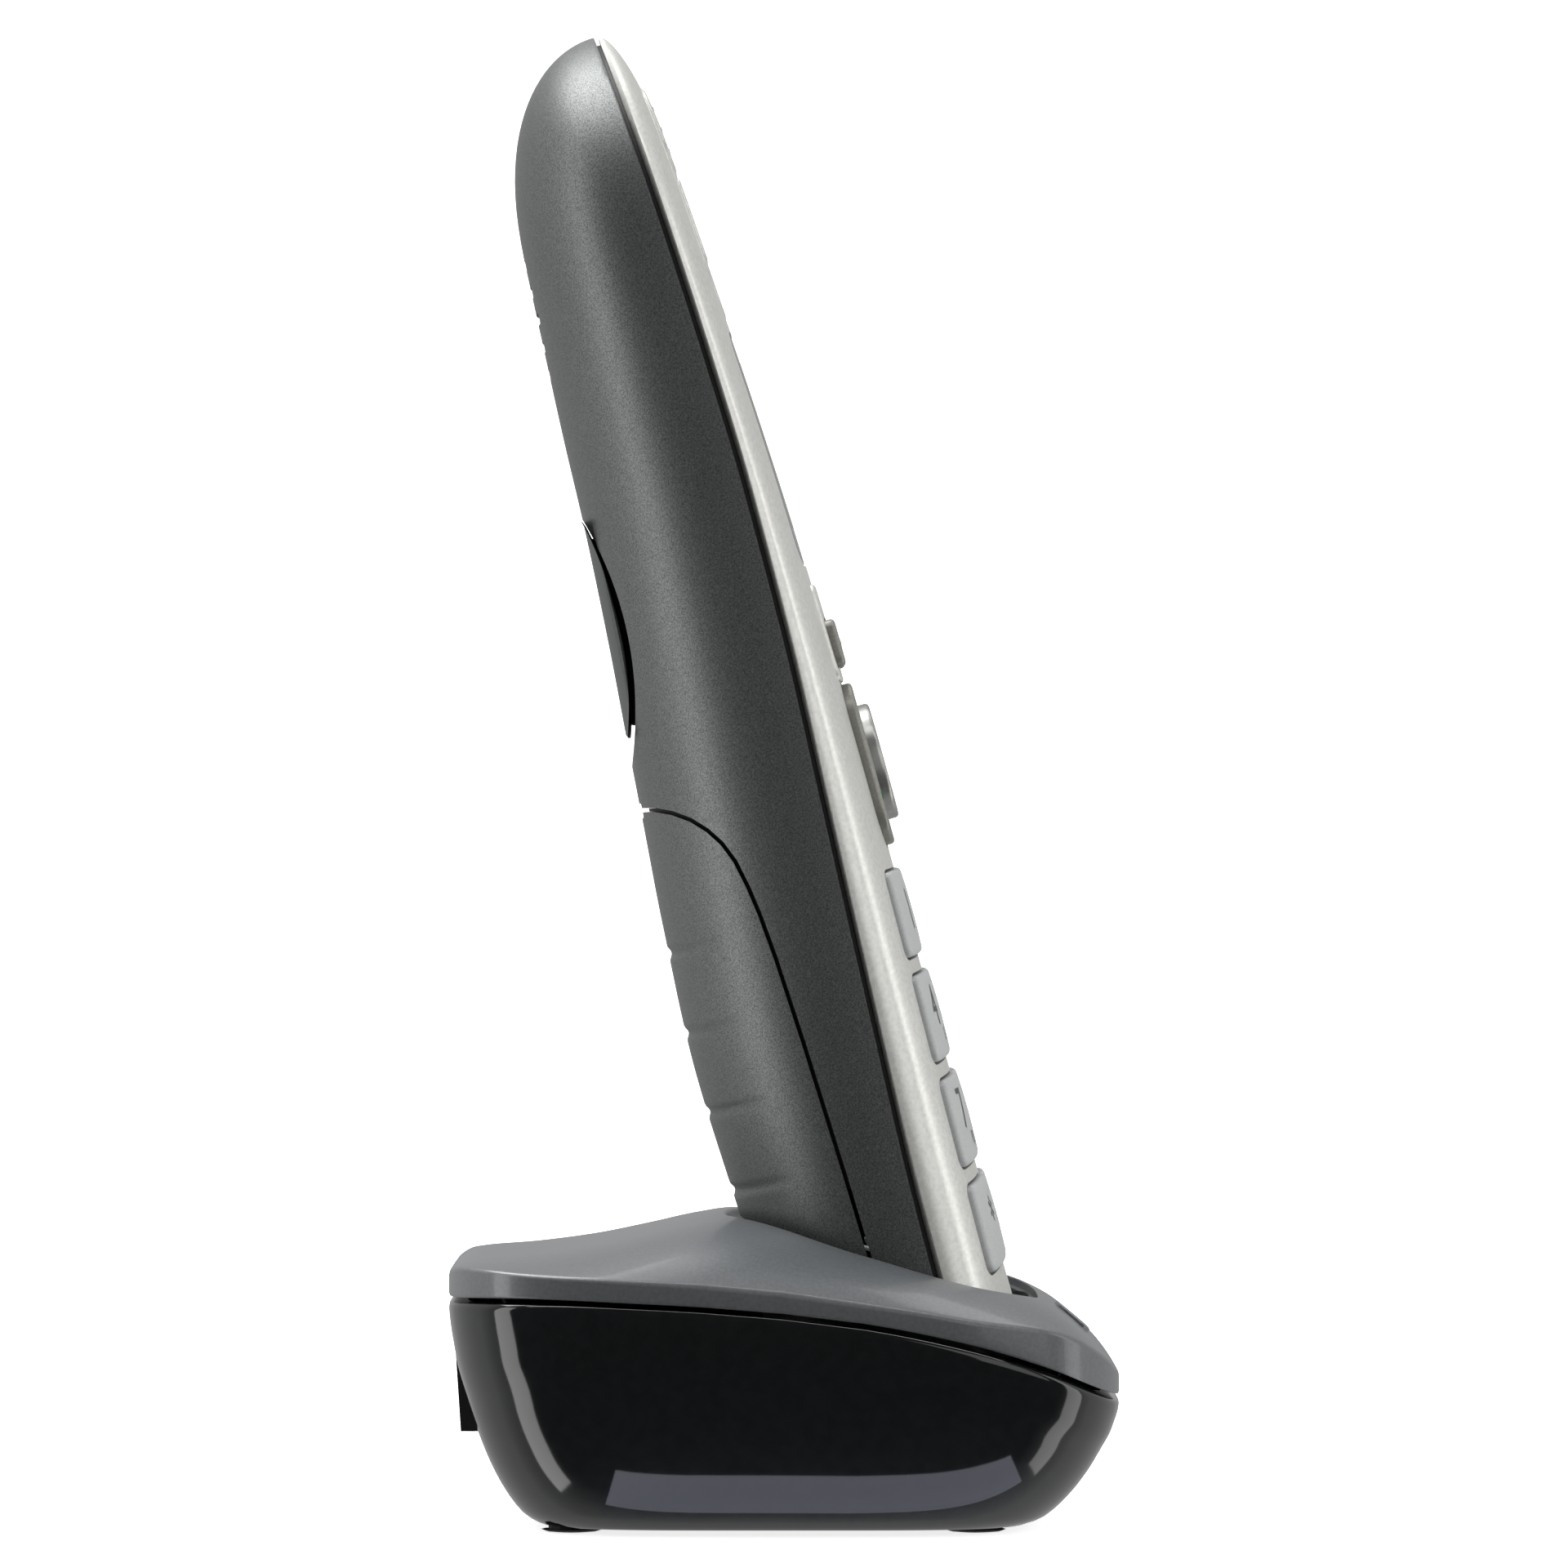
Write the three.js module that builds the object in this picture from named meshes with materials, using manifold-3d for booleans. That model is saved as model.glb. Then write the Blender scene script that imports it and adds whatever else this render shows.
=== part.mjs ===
// A cordless telephone handset standing in its desk base.
// Millimetres, +Z up, the keypad faces -Y. The origin is on the desk under the middle of the base.

import * as THREE from 'three';
import { mergeVertices } from 'three/addons/utils/BufferGeometryUtils.js';
import Module from 'manifold-3d';

const wasm = await Module();
wasm.setup();

// ---------------------------------------------------------------- driving dimensions

// Clearances
const FIT = 0.3; // between pieces that touch on the real object
const SEAM = 0.4; // joint line between two shells
const EPS = 0.05; // cutters reach this far past the faces they cut

// Handset shell, in its own frame: Z along the handset from its foot, -Y out of the keypad
const HANDSET_LENGTH = 148;
const HANDSET_WIDTH = 50;
const SHELL_WALL = 1.8;
const FOOT_ROUND = 3;
const FRONT_ROUND = 12; // length over which the front closes at the top
const BACK_ROUND = 23;
const SIDE_ROUND = 24;
const FRONT_BULGE = 3; // superellipse powers of the cross-section
const BACK_BULGE = 2.4;

// Handset in the base
const LEAN = THREE.MathUtils.degToRad(15.5);
const FOOT_Y = -12;
const FOOT_Z = 16;

// Long profiles: [share of the handset's length, Y]
const SEAM_LINE = [
  [0, -6.9], [0.12, -7.1], [0.26, -7.9], [0.41, -8.9], [0.55, -9.75],
  [0.65, -9.9], [0.75, -9.55], [0.87, -8.75], [1, -7.4],
];
const FRONT_LINE = [
  [0, -14.5], [0.4, -14.5], [0.6, -14], [0.7, -13.45], [0.8, -12.6], [0.9, -11.6], [1, -10.2],
];
const BACK_LINE = [
  [0, 10.6], [0.08, 11.2], [0.15, 11.65], [0.25, 12.12], [0.36, 11.3], [0.44, 10.35],
  [0.5, 9.65], [0.57, 8.8], [0.66, 7.95], [0.72, 7.6], [0.82, 6.8], [0.9, 6.2], [1, 5.6],
];
const SIDE_LINE = [[0, -1.4], [0.15, -0.6], [0.4, 0], [0.7, 0], [0.85, -0.6], [1, -1.2]];

// Keypad
const KEY_WIDTH = 11.7;
const KEY_LENGTH = 9.3;
const KEY_CORNER = 1;
const KEY_COLUMN_PITCH = 14.2;
const KEY_ROW_PITCH = 11.3;
const KEY_BOTTOM_ROW = 14.05; // middle of the lowest row
const KEY_PROUD = 0.75;
const KEY_TRAVEL = 0.5;
const ROW_BEND = 0.8; // how far the ends of the lowest row droop
const FLANGE = 0.4;
const FLANGE_THICKNESS = 0.7;

// Navigation cluster and soft keys
const CLUSTER_GAP = 2.7; // between the top key row and the call keys
const CALL_KEY_LENGTH = 17.9;
const CALL_KEY_REACH = 14.4;
const CALL_KEY_PROUD = 0.85;
const CALL_KEY_PLATE = 0.7;
const RING_DIAMETER = 12.8;
const RING_BORE = 7.6;
const RING_PROUD = 1.85;
const RING_TILT_ROOM = 0.6;
const SOFT_KEY_LENGTH = 5.2;
const SOFT_KEY_WIDTH = 11;
const SOFT_KEY_PROUD = 0.85;
const SOFT_KEY_PLATE = 0.85;
const PLATE_TRAVEL = 0.35;
const PLATE_ROOM = PLATE_TRAVEL + FIT; // between a raised plate and the shell under it
const SOFT_KEY_GAP = 1.9; // between the call keys and the soft keys
const DECK_PROUD = 0.35;
const DECK_MARGIN = 4.1;

// Display and earpiece
const LENS_WIDTH = 34;
const LENS_CORNER = 3;
const LENS_GAP = 2.4; // between deck and lens, and between lens and earpiece trim
const LENS_THICKNESS = 1.5;
const PANEL_THICKNESS = 1.6;
const TRIM_LENGTH = 26;
const TRIM_WIDTH = 30;
const TRIM_TOP = 7.1; // below the top of the handset
const TRIM_PROUD = 0.1;
const TRIM_DEPTH = 0.35;
const SOUND_SLOT = [9, 1.3];

// Boards, speakers
const PCB_THICKNESS = 1.2;
const PCB_BACK = -6.2;
const PCB_WIDTH = 40;
const RECEIVER_DIAMETER = 12;
const RECEIVER_DEPTH = 2.6;
const SPEAKER_DIAMETER = 20;
const SPEAKER_DEPTH = 4;

// Belt clip in its scoop
const SCOOP_RADIUS = 38.5;
const SCOOP_DEPTH = 2.5;
const SCOOP_TOP = 98;
const CLIP_WIDTH = 22;
const CLIP_LENGTH = 23.4;
const CLIP_GAP = 0.7;

// Battery cover, tray and cells
const COVER_TOP = 65.8;
// Its seam down the side of the handset: [Y, Z] from the foot to the back
const COVER_SEAM = [
  [-0.6, 13], [-0.37, 22.9], [0.1, 37.4], [0.55, 47], [0.95, 52], [1.35, 55], [1.95, 58], [2.8, 60.2],
  [3.9, 61.9], [5.3, 63.4], [7, 64.6], [8.6, 65.35], [10.2, 65.75],
];
const COVER_FOOT_SLOPE = 0.65;
const CELL_DIAMETER = 10.5;
const CELL_LENGTH = 44.5;
const CELL_PITCH = CELL_DIAMETER + 1.7;
const CELL_Y = 7.75 - CELL_DIAMETER / 2; // the cells come this close to the cover
const TRAY_WALL = 1.2;
const CONTACT_ROOM = 1.6;
const GRIP_GROOVES = 4;
const GROOVE_PITCH = 8.8;
const GROOVE_LOWEST = 23.85;
const GROOVE_DEPTH = 0.35;
const GROOVE_WIDTH = 1;
const CHASSIS_SCREW = 1.8;
const SCREW_X = 16.4;
const SCREW_Z = 40;

// Base
const BASE_WIDTH = HANDSET_WIDTH + 20;
const BASE_DEPTH = 72;
const BASE_WALL = 2;
const BASE_BULGE = 4.5;
const DOME_BULGE = 5.5;
const PARTING_GAP = 0.6;
const FOOT_HEIGHT = 0.6;
// Housing sides: [share of the way down from the joint line, inset from the widest outline]
const HOUSING_SIDE = [
  [-0.4, 0], [0, 0], [0.25, 0.75], [0.45, 2], [0.62, 3.3], [0.8, 5.2], [0.95, 7.7], [1, 9.4],
];
// Top of the housing and of the cover, along the depth: [share from rear to front, Z]
const PARTING_LINE = [
  [0, 24.4], [0.06, 24.8], [0.12, 24.9], [0.3, 24.45], [0.43, 23.9], [0.6, 22.6], [0.77, 20.2],
  [0.885, 17.6], [0.96, 15.2], [1, 13.8],
];
const RIM_LINE = [
  [0, 26.6], [0.08, 27.4], [0.21, 27.4], [0.43, 26.7], [0.56, 25.5], [0.7, 24], [0.8, 22.4],
  [0.87, 21.2], [0.93, 19.5], [0.97, 17.9], [1, 16.5],
];
const CREST_LINE = [
  [0, 27.3], [0.006, 28], [0.03, 28.8], [0.12, 29.4], [0.21, 30.3], [0.29, 31.5], [0.37, 32.8],
  [0.42, 33.3], [0.62, 30.6], [0.72, 28.5], [0.83, 26.1], [0.9, 23.8], [0.97, 19.4], [1, 16.7],
];

// Slot
const SLOT_CLEARANCE = 0.45;
const SLOT_FRONT_ROOM = 1.7; // lets the keys pass
const SLOT_WALL = 1.8;
const SLOT_FLOOR_GAP = 0.5;
const SLOT_FLARE = 0.8;

// Charging
const PAD_SPACING = 20;
const PAD_SIZE = [6, 4, 2.2];
const PAD_Y = 1.5;
const PIN_DIAMETER = 1.8;
const PIN_COLLAR = 3.2;
const PIN_LENGTH = 7;

// Base fittings
const SOCKET_WIDTH = 15;
const SOCKET_BOTTOM = 10;
const SOCKET_TOP = 20.6;
const SOCKET_DEPTH = 11;
const SOCKET_MOUTH = [9.6, 6.6, 8.6];
const SOCKET_REAR_TOP = 35.5;
const SOCKET_REAR_FOOT = 34.8;
const FOOT_DIAMETER = 7.4;
const FOOT_PAD_DIAMETER = 5;
const FOOT_SPREAD = 36;
const FOOT_REAR_Y = 22.6;
const FOOT_FRONT_Y = -20.4;
const SCREW_SPREAD = 38; // a boss stands beside the board at each corner
const SCREW_REAR_Y = 10;
const SCREW_FRONT_Y = -8;
const SCREW_HEAD = 4.6;
const SCREW_SHANK = 2.4;
const PAGE_KEY = [10, 4.4];

// ---------------------------------------------------------------- materials

function finish(color, roughness, metalness = 0) {
  return new THREE.MeshStandardMaterial({ color, roughness, metalness });
}

const SILVER_PAINT = ['#c9cac8', 0.35, 0.6];
const GREY_PAINT = ['#56595a', 0.45, 0.5];
const KEY_GREY = ['#b4b6b6', 0.4, 0.1];
const SATIN_GREY = ['#7f8083', 0.4, 0.2];
const GLOSS_DARK = ['#2a2e2f', 0.12, 0];
const BLACK_PLASTIC = ['#101111', 0.6, 0];
const RUBBER = ['#1b1c1b', 0.85, 0];
const CHROME = ['#d8d9dc', 0.15, 1];
const GLASS = ['#14181a', 0.08, 0];
const BOARD_GREEN = ['#1f5a3a', 0.5, 0];
const STEEL = ['#a9abad', 0.3, 1];
const GOLD = ['#c8a04a', 0.3, 1];
const SILICONE = ['#d6d8d4', 0.7, 0];
const CELL_WRAP = ['#3f6f58', 0.4, 0];

// ---------------------------------------------------------------- solids

const UNION = 'add';
const CUT = 'subtract';
const COMMON = 'intersect';

// A closed three.js geometry as a manifold solid.
function solid(geometry) {
  const shape = geometry.clone();
  shape.deleteAttribute('normal');
  shape.deleteAttribute('uv');
  const merged = mergeVertices(shape, 1e-4);
  return new wasm.Manifold(new wasm.Mesh({
    numProp: 3,
    vertProperties: new Float32Array(merged.attributes.position.array),
    triVerts: new Uint32Array(merged.index.array),
  }));
}

function geometryOf(manifold) {
  const mesh = manifold.getMesh();
  const geometry = new THREE.BufferGeometry();
  geometry.setAttribute('position', new THREE.BufferAttribute(new Float32Array(mesh.vertProperties), 3));
  geometry.setIndex(new THREE.BufferAttribute(new Uint32Array(mesh.triVerts), 1));
  geometry.computeVertexNormals();
  return geometry;
}

function each(operation, first, ...rest) {
  return rest.reduce((sum, next) => sum[operation](next), first);
}

const join = (...shapes) => each(UNION, ...shapes);
const cut = (...shapes) => each(CUT, ...shapes);
const common = (...shapes) => each(COMMON, ...shapes);

// A box between two corners.
function block(low, high) {
  const size = high.map((value, axis) => value - low[axis]);
  const middle = high.map((value, axis) => (value + low[axis]) / 2);
  return solid(new THREE.BoxGeometry(...size).translate(...middle));
}

// Shape points as Vector2.
function outline(points) {
  return new THREE.Shape(points.map(([u, v]) => new THREE.Vector2(u, v)));
}

// A [Y, Z] outline pushed along X.
function acrossX(points, from, to) {
  const geometry = new THREE.ExtrudeGeometry(outline(points), { depth: to - from, bevelEnabled: false });
  const turn = new THREE.Matrix4().makeBasis(
    new THREE.Vector3(0, 1, 0), new THREE.Vector3(0, 0, 1), new THREE.Vector3(1, 0, 0));
  return solid(geometry.translate(0, 0, from).applyMatrix4(turn));
}

// An [X, Z] outline pushed along Y.
function acrossY(points, from, to) {
  const geometry = new THREE.ExtrudeGeometry(outline(points), { depth: to - from, bevelEnabled: false });
  return solid(geometry.rotateX(Math.PI / 2).translate(0, to, 0));
}

// An [X, Y] outline pushed along Z.
function acrossZ(points, from, to) {
  const geometry = new THREE.ExtrudeGeometry(outline(points), { depth: to - from, bevelEnabled: false });
  return solid(geometry.translate(0, 0, from));
}

function rodY(diameter, from, to, x, z, sides = 16) {
  const rod = new THREE.CylinderGeometry(diameter / 2, diameter / 2, to - from, sides);
  return solid(rod.translate(x, (from + to) / 2, z));
}

function rodZ(diameter, from, to, x, y, sides = 12) {
  const rod = new THREE.CylinderGeometry(diameter / 2, diameter / 2, to - from, sides);
  return solid(rod.rotateX(Math.PI / 2).translate(x, y, (from + to) / 2));
}

// A turned piece: [radius, Z] profile about a vertical axis.
function turned(profile, x, y, sides = 12) {
  const lathe = new THREE.LatheGeometry(profile.map(([r, z]) => new THREE.Vector2(r, z)), sides);
  return solid(lathe.rotateX(Math.PI / 2).translate(x, y, 0));
}

// A closed loft: one ring of `sides` points for each station, a flat cap at both ends.
// rim(station, angle) gives a point, middle(station) the centre of its cap.
function loft(stations, sides, rim, middle) {
  const rows = stations.length - 1;
  const geometry = new THREE.CylinderGeometry(1, 1, 1, sides, rows);
  const position = geometry.attributes.position;
  const point = new THREE.Vector3();
  for (let i = 0; i < position.count; i += 1) {
    point.fromBufferAttribute(position, i);
    const station = stations[Math.round((point.y + 0.5) * rows)];
    const radius = Math.min(1, Math.hypot(point.x, point.z));
    const angle = Math.atan2(-point.z, point.x);
    const spot = radius < 0.5 ? middle(station) : rim(station, angle);
    position.setXYZ(i, ...spot);
  }
  return solid(geometry);
}

// Cubic curve through [place, value] points, as a function of place.
function through(points) {
  const slope = (a, b) => (b[1] - a[1]) / (b[0] - a[0]);
  const last = points.length - 1;
  const slopes = points.map((point, i) => {
    if (i === 0) return slope(points[0], points[1]);
    if (i === last) return slope(points[last - 1], points[last]);
    const before = slope(points[i - 1], point);
    const after = slope(point, points[i + 1]);
    return before * after <= 0 ? 0 : (2 * before * after) / (before + after);
  });
  return (place) => {
    const x = THREE.MathUtils.clamp(place, points[0][0], points[last][0]);
    let i = 0;
    while (i < last - 1 && x > points[i + 1][0]) i += 1;
    const width = points[i + 1][0] - points[i][0];
    const t = (x - points[i][0]) / width;
    const rise = t * t * (3 - 2 * t);
    const bend = width * t * (1 - t);
    const base = points[i][1] * (1 - rise) + points[i + 1][1] * rise;
    return base + bend * ((1 - t) * slopes[i] - t * slopes[i + 1]);
  };
}

// Signed power, for superellipses.
function power(value, exponent) {
  return Math.sign(value) * Math.abs(value) ** exponent;
}

// A rounded rectangle about a centre, corners of `steps` chords, long edges in `pieces` parts.
function roundedRect(cx, cz, width, height, corner, steps = 2, pieces = 1) {
  const points = [];
  const quarter = Math.PI / 2;
  const corners = [[1, 1], [-1, 1], [-1, -1], [1, -1]];
  corners.forEach(([sx, sz], index) => {
    const x = cx + sx * (width / 2 - corner);
    const z = cz + sz * (height / 2 - corner);
    for (let i = 0; i <= steps; i += 1) {
      const angle = index * quarter + (i / steps) * quarter;
      points.push([x + corner * Math.cos(angle), z + corner * Math.sin(angle)]);
    }
    if (pieces > 1 && index % 2 === 0) {
      const next = corners[index + 1];
      const end = cx + next[0] * (width / 2 - corner);
      for (let i = 1; i < pieces; i += 1) {
        points.push([x + ((end - x) * i) / pieces, z + sz * corner]);
      }
    }
  });
  return points;
}

// ---------------------------------------------------------------- handset body

const seamCurve = through(SEAM_LINE);
const frontCurve = through(FRONT_LINE);
const backCurve = through(BACK_LINE);
const sideCurve = through(SIDE_LINE);

// Closing of a profile over `reach` at the top of the handset.
function closing(z, reach, shape) {
  const t = Math.max(0, (z - (HANDSET_LENGTH - reach)) / reach);
  return Math.sqrt(Math.max(0, 1 - t ** shape));
}

function seamAt(z) {
  return seamCurve(z / HANDSET_LENGTH);
}

function frontAt(z) {
  return seamAt(z) + (frontCurve(z / HANDSET_LENGTH) - seamAt(z)) * closing(z, FRONT_ROUND, 2.2);
}

function backAt(z) {
  return seamAt(z) + (backCurve(z / HANDSET_LENGTH) - seamAt(z)) * closing(z, BACK_ROUND, 2.6);
}

function halfWidthAt(z) {
  return (HANDSET_WIDTH / 2 + sideCurve(z / HANDSET_LENGTH)) * closing(z, SIDE_ROUND, 2.4);
}

// How far the outline is drawn in by the rounded foot.
function footInset(z) {
  const t = Math.max(0, 1 - z / FOOT_ROUND);
  return FOOT_ROUND * (1 - Math.sqrt(Math.max(0, 1 - t * t)));
}

// Stations along the handset, denser where the ends close.
function handsetStations(from, to) {
  const stations = [0, 0.2 * FOOT_ROUND, FOOT_ROUND];
  const step = 9.5;
  for (let z = FOOT_ROUND + step; z < HANDSET_LENGTH - BACK_ROUND - step / 2; z += step) stations.push(z);
  [1, 0.76, 0.55, 0.37, 0.23, 0.12, 0.05, 0.013].forEach((share) => {
    stations.push(HANDSET_LENGTH - share * BACK_ROUND);
  });
  const inside = stations.filter((z) => z > from + 0.2 && z < to - 0.05);
  return [from, ...inside, to];
}

// The whole handset as one solid, its skin moved inwards by `inset` (outwards if negative).
function handsetBody(inset, from = 0, to = HANDSET_LENGTH - 0.06, sides = 24) {
  const least = 0.15;
  const rim = (z, angle) => {
    const draw = inset + footInset(Math.max(0, z));
    const half = Math.max(least, halfWidthAt(z) - draw);
    const front = Math.max(least, seamAt(z) - frontAt(z) - draw);
    const back = Math.max(least, backAt(z) - seamAt(z) - draw);
    const c = Math.cos(angle);
    const s = Math.sin(angle);
    const bulge = s < 0 ? FRONT_BULGE : BACK_BULGE;
    const depth = s < 0 ? front : back;
    return [half * power(c, 2 / bulge), seamAt(z) + depth * power(s, 2 / bulge), z];
  };
  return loft(handsetStations(from, to), sides, rim, (z) => [0, seamAt(z), z]);
}

const BODY = handsetBody(0);
const INNER_TOP = HANDSET_LENGTH - 1.3 * SHELL_WALL;
const REACH = HANDSET_WIDTH; // cutters are this wide to each side
const FAR = 60; // cutters reach this far in front and behind

// Scoop behind the belt clip: part of a cylinder lying across the back.
function scoopCentre() {
  const chord = 27.3;
  const z = SCOOP_TOP - chord / 2;
  const y = backCurve(z / HANDSET_LENGTH) + 0.1;
  const tilt = Math.atan2(backCurve((z - 13) / HANDSET_LENGTH) - backCurve((z + 13) / HANDSET_LENGTH), 26);
  const out = SCOOP_RADIUS - SCOOP_DEPTH;
  return [y + out * Math.cos(tilt), z + out * Math.sin(tilt)];
}

// Cross-section of the scoop drum with its radius changed by `grow`.
function scoopDrum(grow, halfWidth) {
  const [cy, cz] = scoopCentre();
  const radius = SCOOP_RADIUS + grow;
  const steps = 12;
  const spread = 0.52;
  const points = [];
  for (let i = 0; i <= steps; i += 1) {
    const angle = Math.PI + spread - (2 * spread * i) / steps;
    points.push([cy + radius * Math.cos(angle), cz + radius * Math.sin(angle)]);
  }
  points.push([cy, cz + 3]);
  points.push([cy, cz - 3]);
  return acrossX(points, -halfWidth, halfWidth);
}

const CAVITY = cut(handsetBody(SHELL_WALL, SHELL_WALL, INNER_TOP, 20), scoopDrum(SHELL_WALL, REACH));
const SKIN = cut(BODY, CAVITY);

// Everything in front of the seam (side = -1) or behind it (side = 1), up to half the joint line.
function seamSide(side) {
  const points = [];
  const steps = 20;
  const overrun = 5;
  for (let i = 0; i <= steps; i += 1) {
    const z = -overrun + ((HANDSET_LENGTH + 2 * overrun) * i) / steps;
    points.push([seamAt(z) + (side * SEAM) / 2, z]);
  }
  points.push([side * FAR, HANDSET_LENGTH + overrun]);
  points.push([side * FAR, -overrun]);
  if (side > 0) points.reverse();
  return acrossX(points, -REACH, REACH);
}

// ---------------------------------------------------------------- keypad layout

const KEY_TOP_ROW = KEY_BOTTOM_ROW + 3 * KEY_ROW_PITCH;
const KEYS_TOP = KEY_TOP_ROW + KEY_LENGTH / 2;
const CALL_BOTTOM = KEYS_TOP + CLUSTER_GAP;
const CALL_TOP = CALL_BOTTOM + CALL_KEY_LENGTH;
const NAV_Z = CALL_BOTTOM + CALL_KEY_LENGTH / 2;
const SOFT_BOTTOM = CALL_TOP + SOFT_KEY_GAP;
const SOFT_TOP = SOFT_BOTTOM + SOFT_KEY_LENGTH;
const DECK_TOP = SOFT_TOP + DECK_MARGIN;
const DECK_BOTTOM = CALL_TOP + FIT;
const DECK_HALF = SOFT_KEY_WIDTH + 3.8;
const TRIM_HIGH = HANDSET_LENGTH - TRIM_TOP;
const TRIM_LOW = TRIM_HIGH - TRIM_LENGTH;
const LENS_LOW = DECK_TOP + LENS_GAP;
const LENS_HIGH = TRIM_LOW - LENS_GAP;

const CAP_FOOT = -10; // where a key's flange starts, behind the shell
const FLANGE_FOOT = CAP_FOOT + FLANGE_THICKNESS;
const MAT_FRONT = FLANGE_FOOT + KEY_TRAVEL + FIT;

// Rows droop more towards the bottom of the keypad.
function droop(x, z) {
  const low = THREE.MathUtils.clamp((KEYS_TOP - z) / (KEYS_TOP - KEY_BOTTOM_ROW), 0, 1.3);
  return z - ROW_BEND * low ** 1.5 * (x / (HANDSET_WIDTH * 0.4)) ** 2;
}

const DIGITS = [
  { name: 'key_1', column: -1, row: 3 }, { name: 'key_2', column: 0, row: 3 },
  { name: 'key_3', column: 1, row: 3 }, { name: 'key_4', column: -1, row: 2 },
  { name: 'key_5', column: 0, row: 2 }, { name: 'key_6', column: 1, row: 2 },
  { name: 'key_7', column: -1, row: 1 }, { name: 'key_8', column: 0, row: 1 },
  { name: 'key_9', column: 1, row: 1 }, { name: 'key_star', column: -1, row: 0 },
  { name: 'key_0', column: 0, row: 0 }, { name: 'key_hash', column: 1, row: 0 },
];

// Outline of a number key, grown by a margin.
function digitOutline({ column, row }, margin) {
  const x = column * KEY_COLUMN_PITCH;
  const z = KEY_BOTTOM_ROW + row * KEY_ROW_PITCH;
  const width = KEY_WIDTH + 2 * margin;
  const length = KEY_LENGTH + 2 * margin;
  const points = roundedRect(x, z, width, length, KEY_CORNER + margin, 2, 2);
  return points.map(([px, pz]) => [px, droop(px, pz)]);
}

function softOutline(side, margin) {
  const x = side * (SOFT_KEY_WIDTH / 2 + 3);
  const z = (SOFT_BOTTOM + SOFT_TOP) / 2;
  return roundedRect(x, z, SOFT_KEY_WIDTH + 2 * margin, SOFT_KEY_LENGTH + 2 * margin, 1.2 + margin, 2);
}

// Half of the call key plate on one side of the ring, before the ring's own circle is cut out.
function callOutline(side, margin) {
  const inner = 0.6;
  const width = CALL_KEY_REACH - inner;
  const x = side * (inner + width / 2);
  return roundedRect(x, NAV_Z, width + 2 * margin, CALL_KEY_LENGTH + 2 * margin, 4.5 + margin, 3);
}

function lensOutline(margin) {
  const z = (LENS_LOW + LENS_HIGH) / 2;
  const height = LENS_HIGH - LENS_LOW + 2 * margin;
  return roundedRect(0, z, LENS_WIDTH + 2 * margin, height, LENS_CORNER + margin, 3);
}

function trimOutline(margin) {
  const z = (TRIM_LOW + TRIM_HIGH) / 2;
  return roundedRect(0, z, TRIM_WIDTH + 2 * margin, TRIM_LENGTH + 2 * margin, 7 + margin, 4);
}

const RING_HOLE = RING_DIAMETER + 2 * RING_TILT_ROOM;
const RING_WEB = 2.4; // shell left between the ring's hole and the call keys' holes
const CALL_STEM_MARGIN = -1.9;
const SOFT_STEM_MARGIN = -1.1;
const CALL_FACE = frontAt(NAV_Z) - CALL_KEY_PROUD;
const SOFT_FACE = frontAt(SOFT_BOTTOM) - SOFT_KEY_PROUD;

// ---------------------------------------------------------------- handset shells

function frontShell() {
  const depth = [-FAR, seamAt(NAV_Z)];
  const deckMiddle = (DECK_BOTTOM + DECK_TOP) / 2;
  const deckOutline = roundedRect(0, deckMiddle, 2 * DECK_HALF, DECK_TOP - DECK_BOTTOM, 1.4);
  const deck = common(
    cut(handsetBody(-DECK_PROUD, 40, 100), handsetBody(SHELL_WALL / 2, 38, 102)),
    acrossY(deckOutline, ...depth));
  let shell = join(common(SKIN, seamSide(-1)), deck);
  DIGITS.forEach((key) => {
    shell = cut(shell, acrossY(digitOutline(key, FIT), ...depth));
  });
  [-1, 1].forEach((side) => {
    const stem = cut(
      acrossY(callOutline(side, CALL_STEM_MARGIN + FIT), ...depth),
      rodY(RING_HOLE + RING_WEB, ...depth, 0, NAV_Z, 28));
    shell = cut(
      shell,
      stem,
      acrossY(callOutline(side, FIT), -FAR, CALL_FACE + CALL_KEY_PLATE + PLATE_ROOM),
      acrossY(softOutline(side, SOFT_STEM_MARGIN + FIT), ...depth),
      acrossY(softOutline(side, FIT), -FAR, SOFT_FACE + SOFT_KEY_PLATE + PLATE_ROOM));
  });
  const grow = common(cut(handsetBody(-3, 100), handsetBody(TRIM_DEPTH + FIT, 98)),
    acrossY(trimOutline(FIT), ...depth));
  return cut(
    shell,
    rodY(RING_HOLE, ...depth, 0, NAV_Z, 28),
    acrossY(lensOutline(FIT), ...depth),
    grow,
    ...soundSlots(-FAR, seamAt(TRIM_HIGH) - 0.4),
    rodY(1.6, ...depth, 0, 4.6, 12));
}

function soundSlots(from, to) {
  const [width, height] = SOUND_SLOT;
  return [-1, 0, 1].map((row) => {
    const z = TRIM_HIGH - 8 + row * 3;
    return acrossY(roundedRect(0, z, width - Math.abs(row) * 2, height, height / 2 - 0.01), from, to);
  });
}

// Side view of the battery cover: its seam down the side and its foot just inside the slot.
function coverRegion(margin) {
  const [edgeFoot, low] = COVER_SEAM[0];
  const footAt = (y) => low + COVER_FOOT_SLOPE * (y - edgeFoot) - 1.3 * margin;
  const seam = COVER_SEAM.slice(1).map(([y, z], i) => {
    const [before, below] = COVER_SEAM[i];
    const along = Math.hypot(y - before, z - below);
    return [y - (margin * (z - below)) / along, z + (margin * (y - before)) / along];
  });
  const points = [[edgeFoot - margin, footAt(edgeFoot)], [FAR, footAt(FAR)], [FAR, COVER_TOP + margin]];
  return acrossX(points.concat(seam.reverse()), -REACH, REACH);
}

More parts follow.
